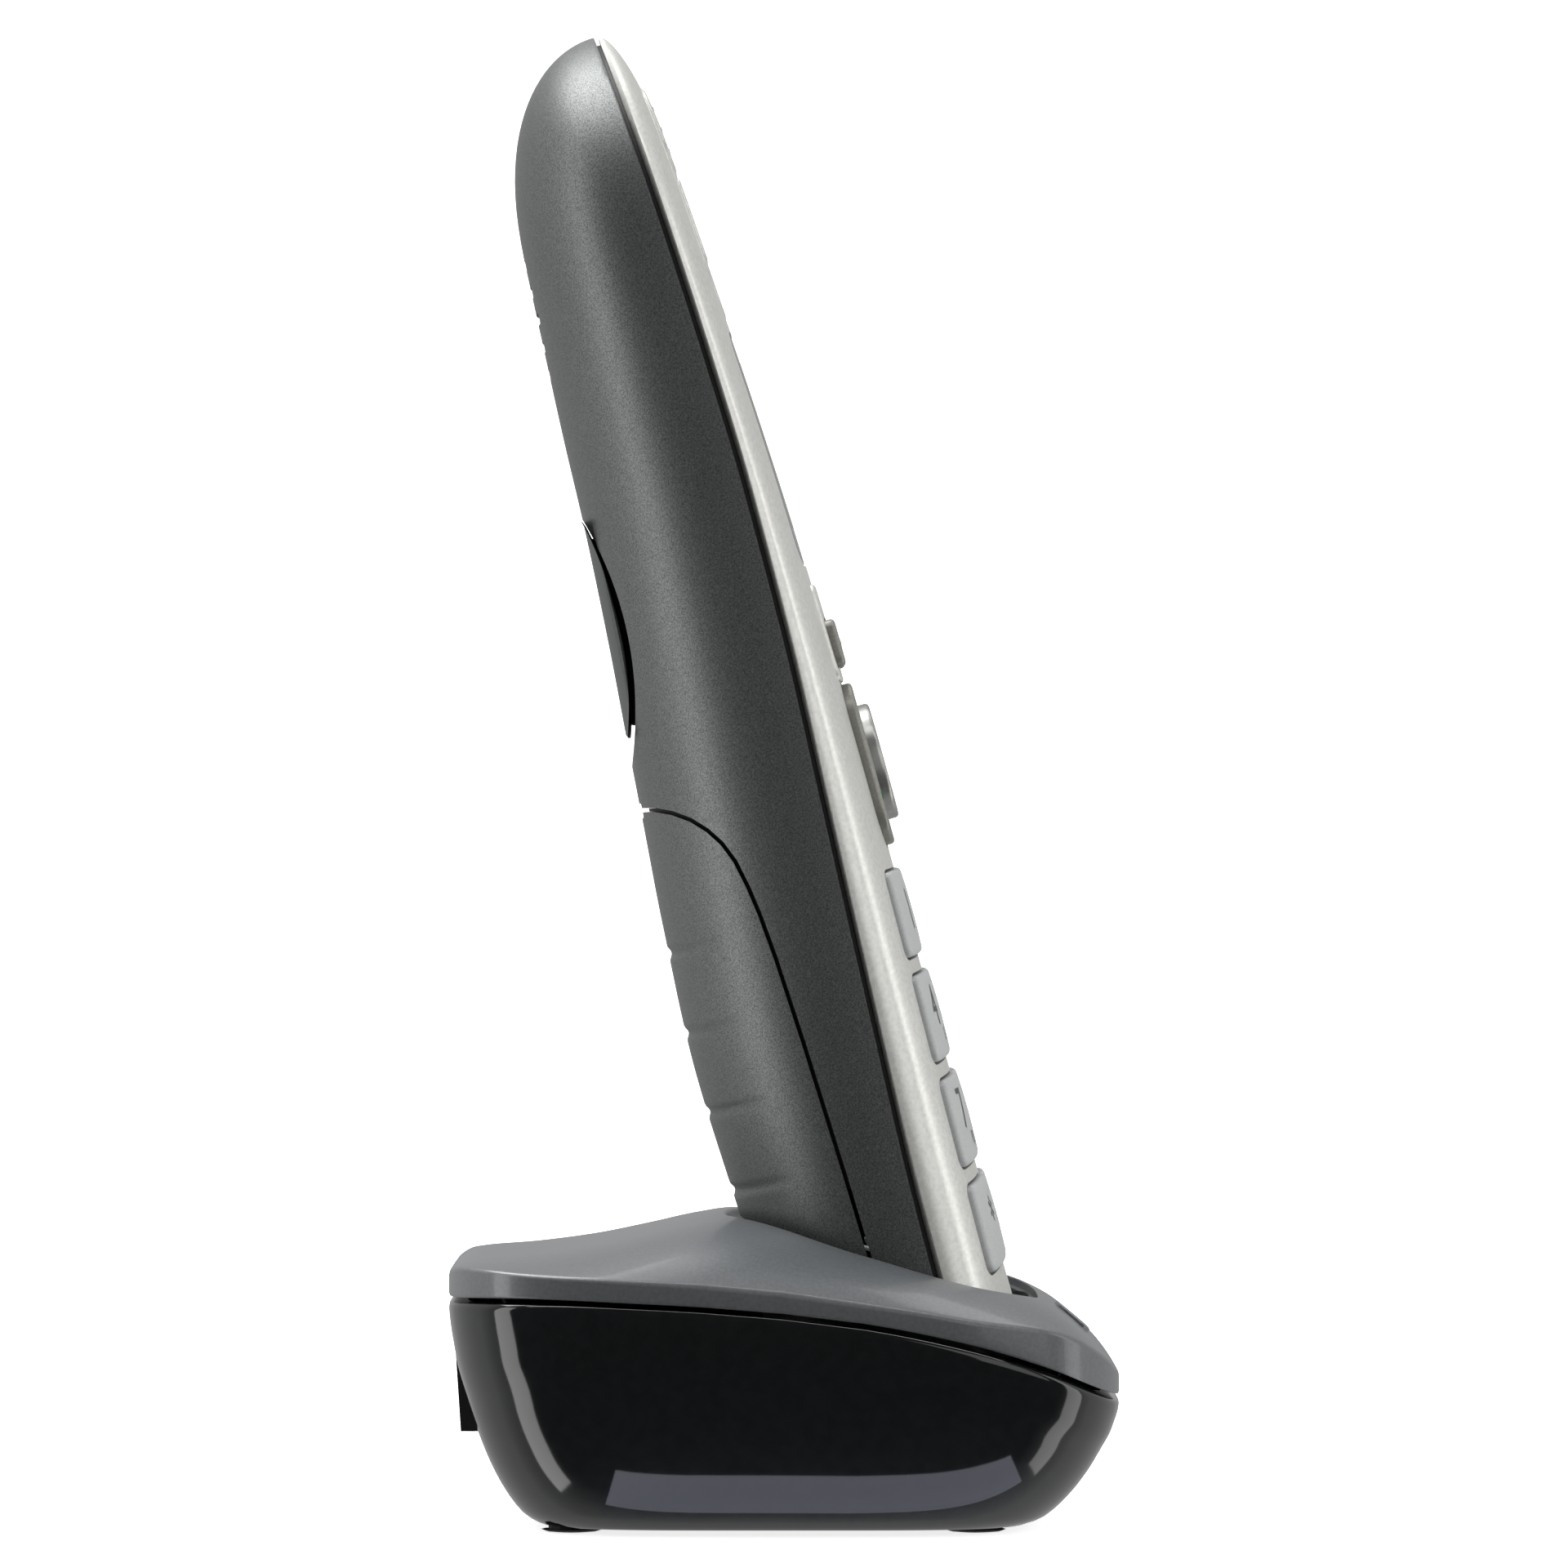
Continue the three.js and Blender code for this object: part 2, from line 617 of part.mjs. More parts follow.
function fingerNotch() {
  const y = backAt(COVER_TOP);
  return block([-6, y - 0.8, COVER_TOP - 0.7], [6, FAR, COVER_TOP + 0.9]);
}

function backShell() {
  const slots = [-2, -1, 0, 1, 2].map((row) => {
    const z = HANDSET_LENGTH - 28 + row * 3;
    return acrossY(roundedRect(0, z, 14 - Math.abs(row) * 3, 1.2, 0.59), 2, FAR);
  });
  const pads = [-1, 1].map((side) => padBlock(side, FIT, -1));
  return cut(
    common(SKIN, seamSide(1)),
    scoopDrum(0, REACH),
    coverRegion(SEAM),
    fingerNotch(),
    ...slots,
    ...pads);
}

function batteryCover() {
  let cover = cut(common(SKIN, coverRegion(0)), fingerNotch());
  const skinLayer = cut(handsetBody(-1, 16, 70), handsetBody(GROOVE_DEPTH, 14, 72));
  for (let i = 0; i < GRIP_GROOVES; i += 1) {
    const z = GROOVE_LOWEST + i * GROOVE_PITCH;
    const band = block([-REACH, 4.5, z - GROOVE_WIDTH / 2], [REACH, FAR, z + GROOVE_WIDTH / 2]);
    cover = cut(cover, common(skinLayer, band));
  }
  return cover;
}

function beltClip() {
  const top = SCOOP_TOP - 0.7;
  const span = block([-CLIP_WIDTH / 2, 0, top - CLIP_LENGTH], [CLIP_WIDTH / 2, FAR, top]);
  return common(BODY, scoopDrum(-CLIP_GAP, REACH), span);
}

// ---------------------------------------------------------------- handset front pieces

// A key cap: the outline cut off along the crowned skin, with a flange behind the shell.
function digitKey(key) {
  const cap = common(
    handsetBody(-KEY_PROUD, 2, 75),
    acrossY(digitOutline(key, 0), -FAR, CAP_FOOT + EPS));
  return join(cap, acrossY(digitOutline(key, FLANGE), CAP_FOOT, FLANGE_FOOT));
}

// A raised plate over the shell, on a stem through it.
function softKey(side) {
  const plate = acrossY(softOutline(side, 0), SOFT_FACE, SOFT_FACE + SOFT_KEY_PLATE);
  const stem = acrossY(softOutline(side, SOFT_STEM_MARGIN), SOFT_FACE + SOFT_KEY_PLATE / 2, FLANGE_FOOT);
  return join(plate, stem);
}

function callKey(side) {
  const plate = cut(
    acrossY(callOutline(side, 0), CALL_FACE, CALL_FACE + CALL_KEY_PLATE),
    rodY(RING_HOLE, -FAR, 0, 0, NAV_Z, 28));
  const stem = cut(
    acrossY(callOutline(side, CALL_STEM_MARGIN), CALL_FACE + CALL_KEY_PLATE / 2, FLANGE_FOOT),
    rodY(RING_HOLE + RING_WEB + 2 * FIT, -FAR, 0, 0, NAV_Z, 28));
  return join(plate, stem);
}

const RING_FACE = frontAt(NAV_Z) - RING_PROUD;
const NAV_BACK = CAP_FOOT;

function navRing() {
  const ring = cut(
    rodY(RING_DIAMETER, RING_FACE, NAV_BACK - 1.6, 0, NAV_Z, 28),
    rodY(RING_BORE, RING_FACE - 1, NAV_BACK, 0, NAV_Z, 28));
  const dish = rodY(RING_BORE + 1.6, RING_FACE - 1, RING_FACE + 0.45, 0, NAV_Z, 28);
  return cut(ring, dish);
}

function okKey() {
  const diameter = RING_BORE - 2 * FIT - 0.4;
  return rodY(diameter, RING_FACE + 0.35, FLANGE_FOOT, 0, NAV_Z, 28);
}

// Cross plate that the ring tilts on, between ring and mat.
function navPlate() {
  const outer = rodY(RING_DIAMETER + 1, NAV_BACK - 1.6 + FIT, NAV_BACK, 0, NAV_Z, 28);
  return cut(outer, rodY(RING_BORE + 0.4, NAV_BACK - 3, NAV_BACK + 1, 0, NAV_Z, 28));
}

function displayLens() {
  const back = frontAt((LENS_LOW + LENS_HIGH) / 2) + LENS_THICKNESS;
  return common(handsetBody(0.1, 70, 130), acrossY(lensOutline(0), -FAR, back));
}

function displayPanel() {
  const front = frontAt((LENS_LOW + LENS_HIGH) / 2) + LENS_THICKNESS + FIT;
  const half = LENS_WIDTH / 2 - 1.4;
  const low = [-half, front, LENS_LOW + 0.8];
  const high = [half, front + PANEL_THICKNESS, LENS_HIGH - 0.8];
  return block(low, high);
}

function earpieceTrim() {
  const layer = cut(handsetBody(-TRIM_PROUD, 100), handsetBody(TRIM_DEPTH, 98));
  const trim = common(layer, acrossY(trimOutline(0), -FAR, seamAt(TRIM_HIGH)));
  return cut(trim, ...soundSlots(-FAR, 0));
}

// ---------------------------------------------------------------- inside the handset

const PCB_FRONT = PCB_BACK - PCB_THICKNESS;

function keypadMat() {
  const plate = acrossY(
    roundedRect(0, (SOFT_TOP + 9) / 2, PCB_WIDTH - 1, SOFT_TOP - 9 + 2, 2), MAT_FRONT, PCB_FRONT - FIT);
  return plate;
}

function mainBoard() {
  const low = 6;
  const high = HANDSET_LENGTH - 22;
  const board = acrossY(roundedRect(0, (low + high) / 2, PCB_WIDTH, high - low, 4), PCB_FRONT, PCB_BACK);
  const holes = [-1, 1].map((side) => screwHole(side));
  return cut(board, ...holes);
}

// Through hole for a chassis screw.
function screwHole(side) {
  return rodY(CHASSIS_SCREW + 2 * FIT, -12, 0, side * SCREW_X, SCREW_Z, 12);
}

function receiver() {
  const z = TRIM_HIGH - 8;
  const front = seamAt(z) + 0.3;
  return rodY(RECEIVER_DIAMETER, front, front + RECEIVER_DEPTH, 0, z, 24);
}

function speaker() {
  const z = HANDSET_LENGTH - 28;
  const back = 2.4;
  return rodY(SPEAKER_DIAMETER, back - SPEAKER_DEPTH, back, 0, z, 24);
}

function microphone() {
  return rodY(4, -12.2, -10.4, 0, 4.6, 16);
}

function antenna() {
  const z = HANDSET_LENGTH - 30;
  return block([-16, PCB_BACK + FIT, z], [16, PCB_BACK + FIT + 0.6, z + 5]);
}

const CELL_LOW = COVER_TOP - 1.4 - CONTACT_ROOM - CELL_LENGTH;
const TRAY_HALF = CELL_PITCH / 2 + CELL_DIAMETER / 2 + FIT + TRAY_WALL;
const TRAY_FLOOR = CELL_Y - CELL_DIAMETER / 2 - FIT;

function batteryTray() {
  const low = CELL_LOW - CONTACT_ROOM - TRAY_WALL;
  const high = COVER_TOP - 1.4 + TRAY_WALL;
  const lip = CELL_Y + 2;
  const outer = block([-TRAY_HALF, TRAY_FLOOR - TRAY_WALL, low], [TRAY_HALF, lip, high]);
  const inner = block(
    [-TRAY_HALF + TRAY_WALL, TRAY_FLOOR, low + TRAY_WALL],
    [TRAY_HALF - TRAY_WALL, lip + 1, high - TRAY_WALL]);
  const ears = block(
    [-SCREW_X - 3, TRAY_FLOOR - TRAY_WALL, SCREW_Z - 4], [SCREW_X + 3, TRAY_FLOOR, SCREW_Z + 4]);
  const holes = [-1, 1].map((side) => screwHole(side));
  return cut(join(outer, ears), inner, ...holes);
}

function cell(side) {
  const x = (side * CELL_PITCH) / 2;
  const body = rodZ(CELL_DIAMETER, CELL_LOW + FIT, CELL_LOW + CELL_LENGTH - 1, x, CELL_Y, 24);
  const tip = CELL_LOW + CELL_LENGTH;
  return join(body, rodZ(3.8, CELL_LOW + CELL_LENGTH - 1.2, tip, x, CELL_Y, 16));
}

function batteryContact(end) {
  const half = TRAY_HALF - TRAY_WALL - FIT;
  const z = end > 0 ? COVER_TOP - 1.4 - FIT - 0.5 : CELL_LOW - CONTACT_ROOM + FIT;
  return block([-half, TRAY_FLOOR + FIT, z], [half, CELL_Y + 3, z + 0.5]);
}

function padBlock(side, margin, floor) {
  const [width, depth, height] = PAD_SIZE;
  const x = (side * PAD_SPACING) / 2;
  return block(
    [x - width / 2 - margin, PAD_Y - depth / 2 - margin, floor],
    [x + width / 2 + margin, PAD_Y + depth / 2 + margin, height + margin]);
}

function chassisScrew(side) {
  const seat = TRAY_FLOOR + FIT;
  const shank = rodY(CHASSIS_SCREW, PCB_FRONT, seat + 0.4, side * SCREW_X, SCREW_Z, 12);
  return join(shank, rodY(CHASSIS_SCREW + 1.8, seat, seat + 1.2, side * SCREW_X, SCREW_Z, 16));
}

// ---------------------------------------------------------------- base

const partingCurve = through(PARTING_LINE);
const rimCurve = through(RIM_LINE);
const crestCurve = through(CREST_LINE);
const sideInset = through(HOUSING_SIDE);

const toShare = (y) => 0.5 - y / BASE_DEPTH;

// Rounded-square outline of the base, moved inwards by `inset`.
function baseOutline(inset, sides = 40) {
  const points = [];
  for (let i = 0; i < sides; i += 1) {
    const angle = (2 * Math.PI * i) / sides;
    const x = (BASE_WIDTH / 2 - inset) * power(Math.cos(angle), 2 / BASE_BULGE);
    const y = (BASE_DEPTH / 2 - inset) * power(Math.sin(angle), 2 / BASE_BULGE);
    points.push([x, y]);
  }
  return points;
}

// The housing's bowl: rings at shares of the way down from the joint line to `floor`.
function bowl(inset, floor, sides = 40) {
  const shares = HOUSING_SIDE.map(([share]) => share).reverse();
  const rim = (share, angle) => {
    const draw = sideInset(share) + inset;
    const x = (BASE_WIDTH / 2 - draw) * power(Math.cos(angle), 2 / BASE_BULGE);
    const y = (BASE_DEPTH / 2 - draw) * power(Math.sin(angle), 2 / BASE_BULGE);
    const joint = partingCurve(toShare(y));
    return [x, y, joint - share * (joint - floor)];
  };
  return loft(shares, sides, rim, (share) => rim(share, 0).map((value, axis) => (axis < 2 ? 0 : value)));
}

// Everything below a line along the depth, moved up by `lift`.
function underLine(curve, lift, margin = 4) {
  const points = [];
  const steps = 24;
  for (let i = 0; i <= steps; i += 1) {
    const y = BASE_DEPTH / 2 + margin - ((BASE_DEPTH + 2 * margin) * i) / steps;
    points.push([y, curve(toShare(y)) + lift]);
  }
  points.push([-BASE_DEPTH / 2 - margin, -20]);
  points.push([BASE_DEPTH / 2 + margin, -20]);
  points.reverse();
  return acrossX(points, -BASE_WIDTH, BASE_WIDTH);
}

// The domed top as a solid that reaches down past the desk, its skin moved inwards by `inset`.
function domeBody(inset) {
  const shares = [
    0, 0.012, 0.045, 0.08, 0.14, 0.21, 0.29, 0.37, 0.43, 0.52, 0.62, 0.72, 0.8, 0.87, 0.92, 0.96, 1,
  ];
  const sides = 32;
  const half = BASE_WIDTH / 2;
  const rim = (share, angle) => {
    // The lower half of the ring is flat; the upper half follows the dome.
    const x = half * Math.cos(angle) * 1.02;
    const across = Math.min(1, Math.abs(x) / half);
    const rise = 1 - across ** DOME_BULGE;
    const low = rimCurve(share);
    const top = low + (crestCurve(share) - low) * rise - inset;
    const y = BASE_DEPTH / 2 - share * BASE_DEPTH;
    return [x, y * 1.02, Math.sin(angle) > 1e-6 ? top : -5 + 2 * Math.sin(angle)];
  };
  return loft(shares, sides, rim, (share) => [0, BASE_DEPTH * (0.5 - share), 5]);
}

// Slot for the handset, in the handset's frame: a straight well of the handset's own section.
function slotWell(grow, floor, top) {
  const grip = 22;
  const half = halfWidthAt(grip) + SLOT_CLEARANCE + grow;
  const seam = seamAt(grip);
  const front = seam - frontAt(grip) + SLOT_FRONT_ROOM + grow;
  const back = backAt(grip) - seam + SLOT_CLEARANCE + grow;
  const rim = (z, angle) => {
    const c = Math.cos(angle);
    const s = Math.sin(angle);
    const bulge = s < 0 ? FRONT_BULGE : BACK_BULGE;
    return [half * power(c, 2 / bulge), seam + (s < 0 ? front : back) * power(s, 2 / bulge), z];
  };
  return loft([floor, top], 28, rim, (z) => [0, seam, z]);
}

// Moves a solid from the handset's frame into the base's.
function leaned(shape) {
  return shape.rotate([-THREE.MathUtils.radToDeg(LEAN), 0, 0]).translate([0, FOOT_Y, FOOT_Z]);
}

function bossPlaces() {
  return [
    [-SCREW_SPREAD / 2, SCREW_REAR_Y], [SCREW_SPREAD / 2, SCREW_REAR_Y],
    [-SCREW_SPREAD / 2, SCREW_FRONT_Y], [SCREW_SPREAD / 2, SCREW_FRONT_Y],
  ];
}

const SCREW_TIP = 11;
const FLOOR_TOP = FOOT_HEIGHT + BASE_WALL;
const PAGE_Y = -31.2;

// The page key and its hole stand square to the front slope of the cover.
function pageBlock(margin, low, high) {
  const [width, length] = PAGE_KEY;
  const points = roundedRect(0, 0, width + 2 * margin, length + 2 * margin, 1.6, 3);
  const z = crestCurve(toShare(PAGE_Y));
  return acrossZ(points, low, high).rotate([40, 0, 0]).translate([0, PAGE_Y, z]);
}

function topCover() {
  const dome = domeBody(0);
  const column = acrossZ(baseOutline(0), 8, 40);
  const outer = cut(common(column, dome), underLine(partingCurve, PARTING_GAP));
  const inner = common(acrossZ(baseOutline(BASE_WALL), 5, 45), domeBody(BASE_WALL));
  const wellOuter = common(leaned(slotWell(SLOT_WALL, -SLOT_FLOOR_GAP - SLOT_WALL, 60)), dome);
  let cover = join(cut(outer, inner), wellOuter);
  bossPlaces().forEach(([x, y]) => {
    const boss = common(rodZ(5.6, FLOOR_TOP + FIT, 40, x, y, 12), domeBody(BASE_WALL / 2));
    cover = cut(join(cover, boss), rodZ(SCREW_SHANK + 2 * FIT, 0, SCREW_TIP + 0.6, x, y, 12));
  });
  const contacts = [-1, 1].map((side) => {
    const hole = rodZ(PIN_DIAMETER + 2 * FIT, -8, 4, (side * PAD_SPACING) / 2, PAD_Y, 16);
    return leaned(hole);
  });
  const flare = cut(leaned(slotWell(SLOT_FLARE, -SLOT_FLOOR_GAP, 70)), domeBody(SLOT_FLARE));
  return cut(
    cover,
    leaned(slotWell(0, -SLOT_FLOOR_GAP, 70)),
    flare,
    ...contacts,
    pageBlock(FIT, -BASE_WALL - 3, 4));
}

function socketProfile(margin) {
  const front = SOCKET_REAR_FOOT - SOCKET_DEPTH;
  return [
    [front - margin, SOCKET_BOTTOM - margin], [SOCKET_REAR_FOOT + margin, SOCKET_BOTTOM - margin],
    [SOCKET_REAR_TOP + margin, SOCKET_TOP + margin], [front - margin, SOCKET_TOP + margin],
  ];
}

function lowerHousing() {
  const outer = common(bowl(0, FOOT_HEIGHT), underLine(partingCurve, 0));
  const inner = bowl(BASE_WALL, FLOOR_TOP, 32);
  let housing = cut(outer, inner);
  const channel = block([-6, SOCKET_REAR_FOOT - SOCKET_DEPTH + 1.5, -5], [6, FAR, SOCKET_BOTTOM]);
  const socketHole = acrossX(
    [[10, SOCKET_BOTTOM - FIT], [FAR, SOCKET_BOTTOM - FIT], [FAR, SOCKET_TOP + FIT], [10, SOCKET_TOP + FIT]],
    -SOCKET_WIDTH / 2 - FIT, SOCKET_WIDTH / 2 + FIT);
  housing = cut(housing, channel, socketHole);
  bossPlaces().forEach(([x, y]) => {
    housing = cut(housing, rodZ(SCREW_SHANK + 2 * FIT, -1, FLOOR_TOP + 1, x, y, 16));
    housing = cut(housing, rodZ(SCREW_HEAD + 2 * FIT, -1, FOOT_HEIGHT + 1, x, y, 20));
  });
  footPlaces().forEach(([x, y]) => {
    housing = cut(housing, rodZ(FOOT_PAD_DIAMETER + 2 * FIT, -1, FOOT_HEIGHT + 1, x, y, 24));
  });
  return housing;
}

function leadSocket() {
  const body = acrossX(socketProfile(0), -SOCKET_WIDTH / 2, SOCKET_WIDTH / 2);
  const [width, depth, height] = SOCKET_MOUTH;
  const y = SOCKET_REAR_FOOT - SOCKET_DEPTH + 1.6;
  const mouth = block([-width / 2, y, SOCKET_BOTTOM - 1], [width / 2, y + depth, SOCKET_BOTTOM + height]);
  return cut(body, mouth);
}

function socketContact() {
  const y = SOCKET_REAR_FOOT - SOCKET_DEPTH + 1.6;
  const [, depth, height] = SOCKET_MOUTH;
  const z = SOCKET_BOTTOM + height - FIT;
  return block([-3, y + FIT, z - 4], [3, y + FIT + 0.6, z]).add(
    block([-3, y + FIT, z - 0.6], [3, y + depth - FIT, z]));
}

function footPlaces() {
  return [
    [-FOOT_SPREAD / 2, FOOT_REAR_Y], [FOOT_SPREAD / 2, FOOT_REAR_Y],
    [-FOOT_SPREAD / 2, FOOT_FRONT_Y], [FOOT_SPREAD / 2, FOOT_FRONT_Y],
  ];
}

function rubberFoot(x, y) {
  const pad = FOOT_PAD_DIAMETER / 2;
  const rim = FOOT_DIAMETER / 2;
  return turned([
    [0, 0], [pad - 0.8, 0], [rim - 0.9, 0.1], [rim - 0.4, FOOT_HEIGHT - FIT],
    [pad, FOOT_HEIGHT - FIT], [pad, FOOT_HEIGHT + 0.7], [0, FOOT_HEIGHT + 0.7],
  ], x, y);
}

function housingScrew(x, y) {
  const head = FOOT_HEIGHT + 0.2;
  return turned([
    [0, head], [SCREW_HEAD / 2 - 0.4, head], [SCREW_HEAD / 2, head - 0.25 + 0.5],
    [SCREW_SHANK / 2, FOOT_HEIGHT + 1 - FIT], [SCREW_SHANK / 2, SCREW_TIP - 1], [0, SCREW_TIP],
  ], x, y);
}

function baseBoard() {
  const z = FLOOR_TOP + 1.4;
  const points = roundedRect(0, -2, 30, 44, 3);
  return acrossZ(points, z, z + 1.4);
}

function contactBlock() {
  const top = -SLOT_FLOOR_GAP - SLOT_WALL - FIT;
  const half = PAD_SPACING / 2 + 3;
  let shape = block([-half, PAD_Y - 3, top - 5], [half, PAD_Y + 3, top]);
  [-1, 1].forEach((side) => {
    const x = (side * PAD_SPACING) / 2;
    shape = cut(shape, rodZ(PIN_COLLAR + 2 * FIT, top - 6, top + 1, x, PAD_Y, 16));
  });
  return shape;
}

function chargePin(side) {
  const x = (side * PAD_SPACING) / 2;
  const collarTop = -SLOT_FLOOR_GAP - SLOT_WALL - FIT;
  return turned([
    [0, -FIT], [PIN_DIAMETER / 2 - 0.4, -FIT], [PIN_DIAMETER / 2, -FIT - 0.4],
    [PIN_DIAMETER / 2, collarTop], [PIN_COLLAR / 2, collarTop], [PIN_COLLAR / 2, collarTop - 1],
    [PIN_DIAMETER / 2, collarTop - 1], [PIN_DIAMETER / 2, -PIN_LENGTH + 1], [0, -PIN_LENGTH + 1],
  ].reverse(), x, PAD_Y);
}

function pageKey() {
  return pageBlock(0, -2.4, 0.25);
}

// ---------------------------------------------------------------- assembly

const phone = new THREE.Group();
const handset = new THREE.Group();
handset.position.set(0, FOOT_Y, FOOT_Z);
handset.rotation.x = -LEAN;
phone.add(handset);

function place(group, name, shape, look) {
  const mesh = new THREE.Mesh(geometryOf(shape), finish(...look));
  mesh.name = name;
  group.add(mesh);
}

const sides = [['left', -1], ['right', 1]];

place(handset, 'front_shell', frontShell(), SILVER_PAINT);
place(handset, 'back_shell', backShell(), GREY_PAINT);
place(handset, 'battery_cover', batteryCover(), GREY_PAINT);
place(handset, 'belt_clip', beltClip(), GREY_PAINT);
place(handset, 'display_lens', displayLens(), GLASS);
place(handset, 'display_panel', displayPanel(), GLASS);
place(handset, 'earpiece_trim', earpieceTrim(), SILVER_PAINT);
place(handset, 'earpiece_receiver', receiver(), BLACK_PLASTIC);
place(handset, 'handsfree_speaker', speaker(), BLACK_PLASTIC);
place(handset, 'microphone', microphone(), STEEL);
place(handset, 'antenna', antenna(), STEEL);
place(handset, 'main_board', mainBoard(), BOARD_GREEN);
place(handset, 'keypad_mat', keypadMat(), SILICONE);
DIGITS.forEach((key) => place(handset, key.name, digitKey(key), KEY_GREY));
sides.forEach(([name, side]) => {
  place(handset, `soft_key_${name}`, softKey(side), KEY_GREY);
  place(handset, `call_key_${name}`, callKey(side), KEY_GREY);
  place(handset, `battery_cell_${name}`, cell(side), CELL_WRAP);
  place(handset, `charge_pad_${name}`, padBlock(side, 0, 0), GOLD);
  place(handset, `chassis_screw_${name}`, chassisScrew(side), STEEL);
  place(handset, `battery_contact_${name === 'left' ? 'lower' : 'upper'}`, batteryContact(side), STEEL);
});
place(handset, 'nav_ring', navRing(), CHROME);
place(handset, 'nav_plate', navPlate(), BLACK_PLASTIC);
place(handset, 'ok_key', okKey(), KEY_GREY);
place(handset, 'battery_tray', batteryTray(), BLACK_PLASTIC);

place(phone, 'top_cover', topCover(), SATIN_GREY);
place(phone, 'lower_housing', lowerHousing(), GLOSS_DARK);
place(phone, 'lead_socket', leadSocket(), BLACK_PLASTIC);
place(phone, 'socket_contact', socketContact(), GOLD);
place(phone, 'base_board', baseBoard(), BOARD_GREEN);
place(phone, 'page_key', pageKey(), KEY_GREY);
footPlaces().forEach(([x, y], index) => place(phone, `rubber_foot_${index + 1}`, rubberFoot(x, y), RUBBER));
bossPlaces().forEach(([x, y], index) => place(phone, `base_screw_${index + 1}`, housingScrew(x, y), STEEL));
place(handset, 'contact_block', contactBlock(), BLACK_PLASTIC);
sides.forEach(([name, side]) => place(handset, `charge_pin_${name}`, chargePin(side), GOLD));

export default phone;
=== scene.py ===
"""Looks of the cordless phone in its base. Lengths in the tables are millimetres."""

import math

import bmesh
import bpy
from mathutils import Matrix, Vector


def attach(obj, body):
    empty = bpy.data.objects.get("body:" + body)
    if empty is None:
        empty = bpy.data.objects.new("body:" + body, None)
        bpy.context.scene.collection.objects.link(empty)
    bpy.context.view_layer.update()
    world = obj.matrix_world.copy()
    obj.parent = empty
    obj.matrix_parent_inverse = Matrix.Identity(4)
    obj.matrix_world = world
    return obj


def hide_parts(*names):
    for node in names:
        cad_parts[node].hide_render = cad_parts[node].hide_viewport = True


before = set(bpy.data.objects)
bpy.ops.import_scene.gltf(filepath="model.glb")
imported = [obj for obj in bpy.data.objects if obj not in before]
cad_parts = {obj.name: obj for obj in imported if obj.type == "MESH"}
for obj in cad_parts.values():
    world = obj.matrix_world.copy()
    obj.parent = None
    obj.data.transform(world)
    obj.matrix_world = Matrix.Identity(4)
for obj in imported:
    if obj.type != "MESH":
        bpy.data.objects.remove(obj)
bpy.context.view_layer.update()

MM = 0.001

# ------------------------------------------------------------------ the handset's own frame
# Z runs along the handset from its foot, -Y comes out of the keypad.

LENGTH = 147.98
WIDTH = 50
WALL = 1.8
LEAN = math.radians(15.5)
STAND_Y, STAND_Z = -12, 16
# How far from the end each outline starts to close.
FOOT_ROUND = 3
FRONT_ROUND, BACK_ROUND, SIDE_ROUND = 12, 23, 24
# Section of each shell: 2 is an ellipse, larger is squarer.
FRONT_BULGE, BACK_BULGE = 3.0, 2.4
LEAST = 0.15
# The joint between the shells, the black lips that stand in it, whose black is painted shade, and its
# bevelled edge.
SEAM_GAP = 0.45
LIP_INSET, LIP_ROOM, RIB_DEPTH = 0.9, 0.04, 2.2
BEVEL_SLOPE = 1.4

STAND = Matrix.Translation((0, STAND_Y * MM, STAND_Z * MM)) @ Matrix.Rotation(-LEAN, 4, "X")
LEVEL = Matrix.Identity(4)

# Lines along the handset in side view and in front view: [share of the length, offset].
SEAM_LINE = [(0, -6.9), (0.12, -7.1), (0.26, -7.9), (0.41, -8.9), (0.55, -9.75),
             (0.65, -9.9), (0.75, -9.55), (0.87, -8.75), (1, -7.4)]
FRONT_LINE = [(0, -14.5), (0.4, -14.5), (0.6, -14), (0.7, -13.45), (0.8, -12.6),
              (0.9, -11.6), (1, -10.2)]
BACK_LINE = [(0, 10.6), (0.08, 11.2), (0.15, 11.65), (0.25, 12.12), (0.36, 11.3), (0.44, 10.35),
             (0.5, 9.65), (0.57, 8.8), (0.66, 7.95), (0.72, 7.6), (0.82, 6.8), (0.9, 6.2), (1, 5.6)]
SIDE_LINE = [(0, -1.4), (0.15, -0.6), (0.4, 0), (0.7, 0), (0.85, -0.6), (1, -1.2)]


def through(points):
    """A smooth curve through [place, value] points, as a function of place."""
    def slope(a, b):
        return (b[1] - a[1]) / (b[0] - a[0])

    slopes = []
    for i in range(len(points)):
        if i == 0:
            slopes.append(slope(points[0], points[1]))
        elif i == len(points) - 1:
            slopes.append(slope(points[-2], points[-1]))
        else:
            before, after = slope(points[i - 1], points[i]), slope(points[i], points[i + 1])
            slopes.append(0 if before * after <= 0 else 2 * before * after / (before + after))

    def curve(place):
        x = min(max(place, points[0][0]), points[-1][0])
        i = 0
        while i < len(points) - 2 and x > points[i + 1][0]:
            i += 1
        width = points[i + 1][0] - points[i][0]
        t = (x - points[i][0]) / width
        rise = t * t * (3 - 2 * t)
        bend = width * t * (1 - t)
        base = points[i][1] * (1 - rise) + points[i + 1][1] * rise
        return base + bend * ((1 - t) * slopes[i] - t * slopes[i + 1])

    return curve


seam_curve, front_curve = through(SEAM_LINE), through(FRONT_LINE)
back_curve, side_curve = through(BACK_LINE), through(SIDE_LINE)


def power(value, exponent):
    """A power that keeps the sign, for superellipses."""
    return math.copysign(abs(value) ** exponent, value)


def closing(z, reach, shape):
    """1 along the handset, falling to 0 at its top over the last `reach`."""
    t = max(0, (z - (LENGTH - reach)) / reach)
    return math.sqrt(max(0, 1 - t ** shape))


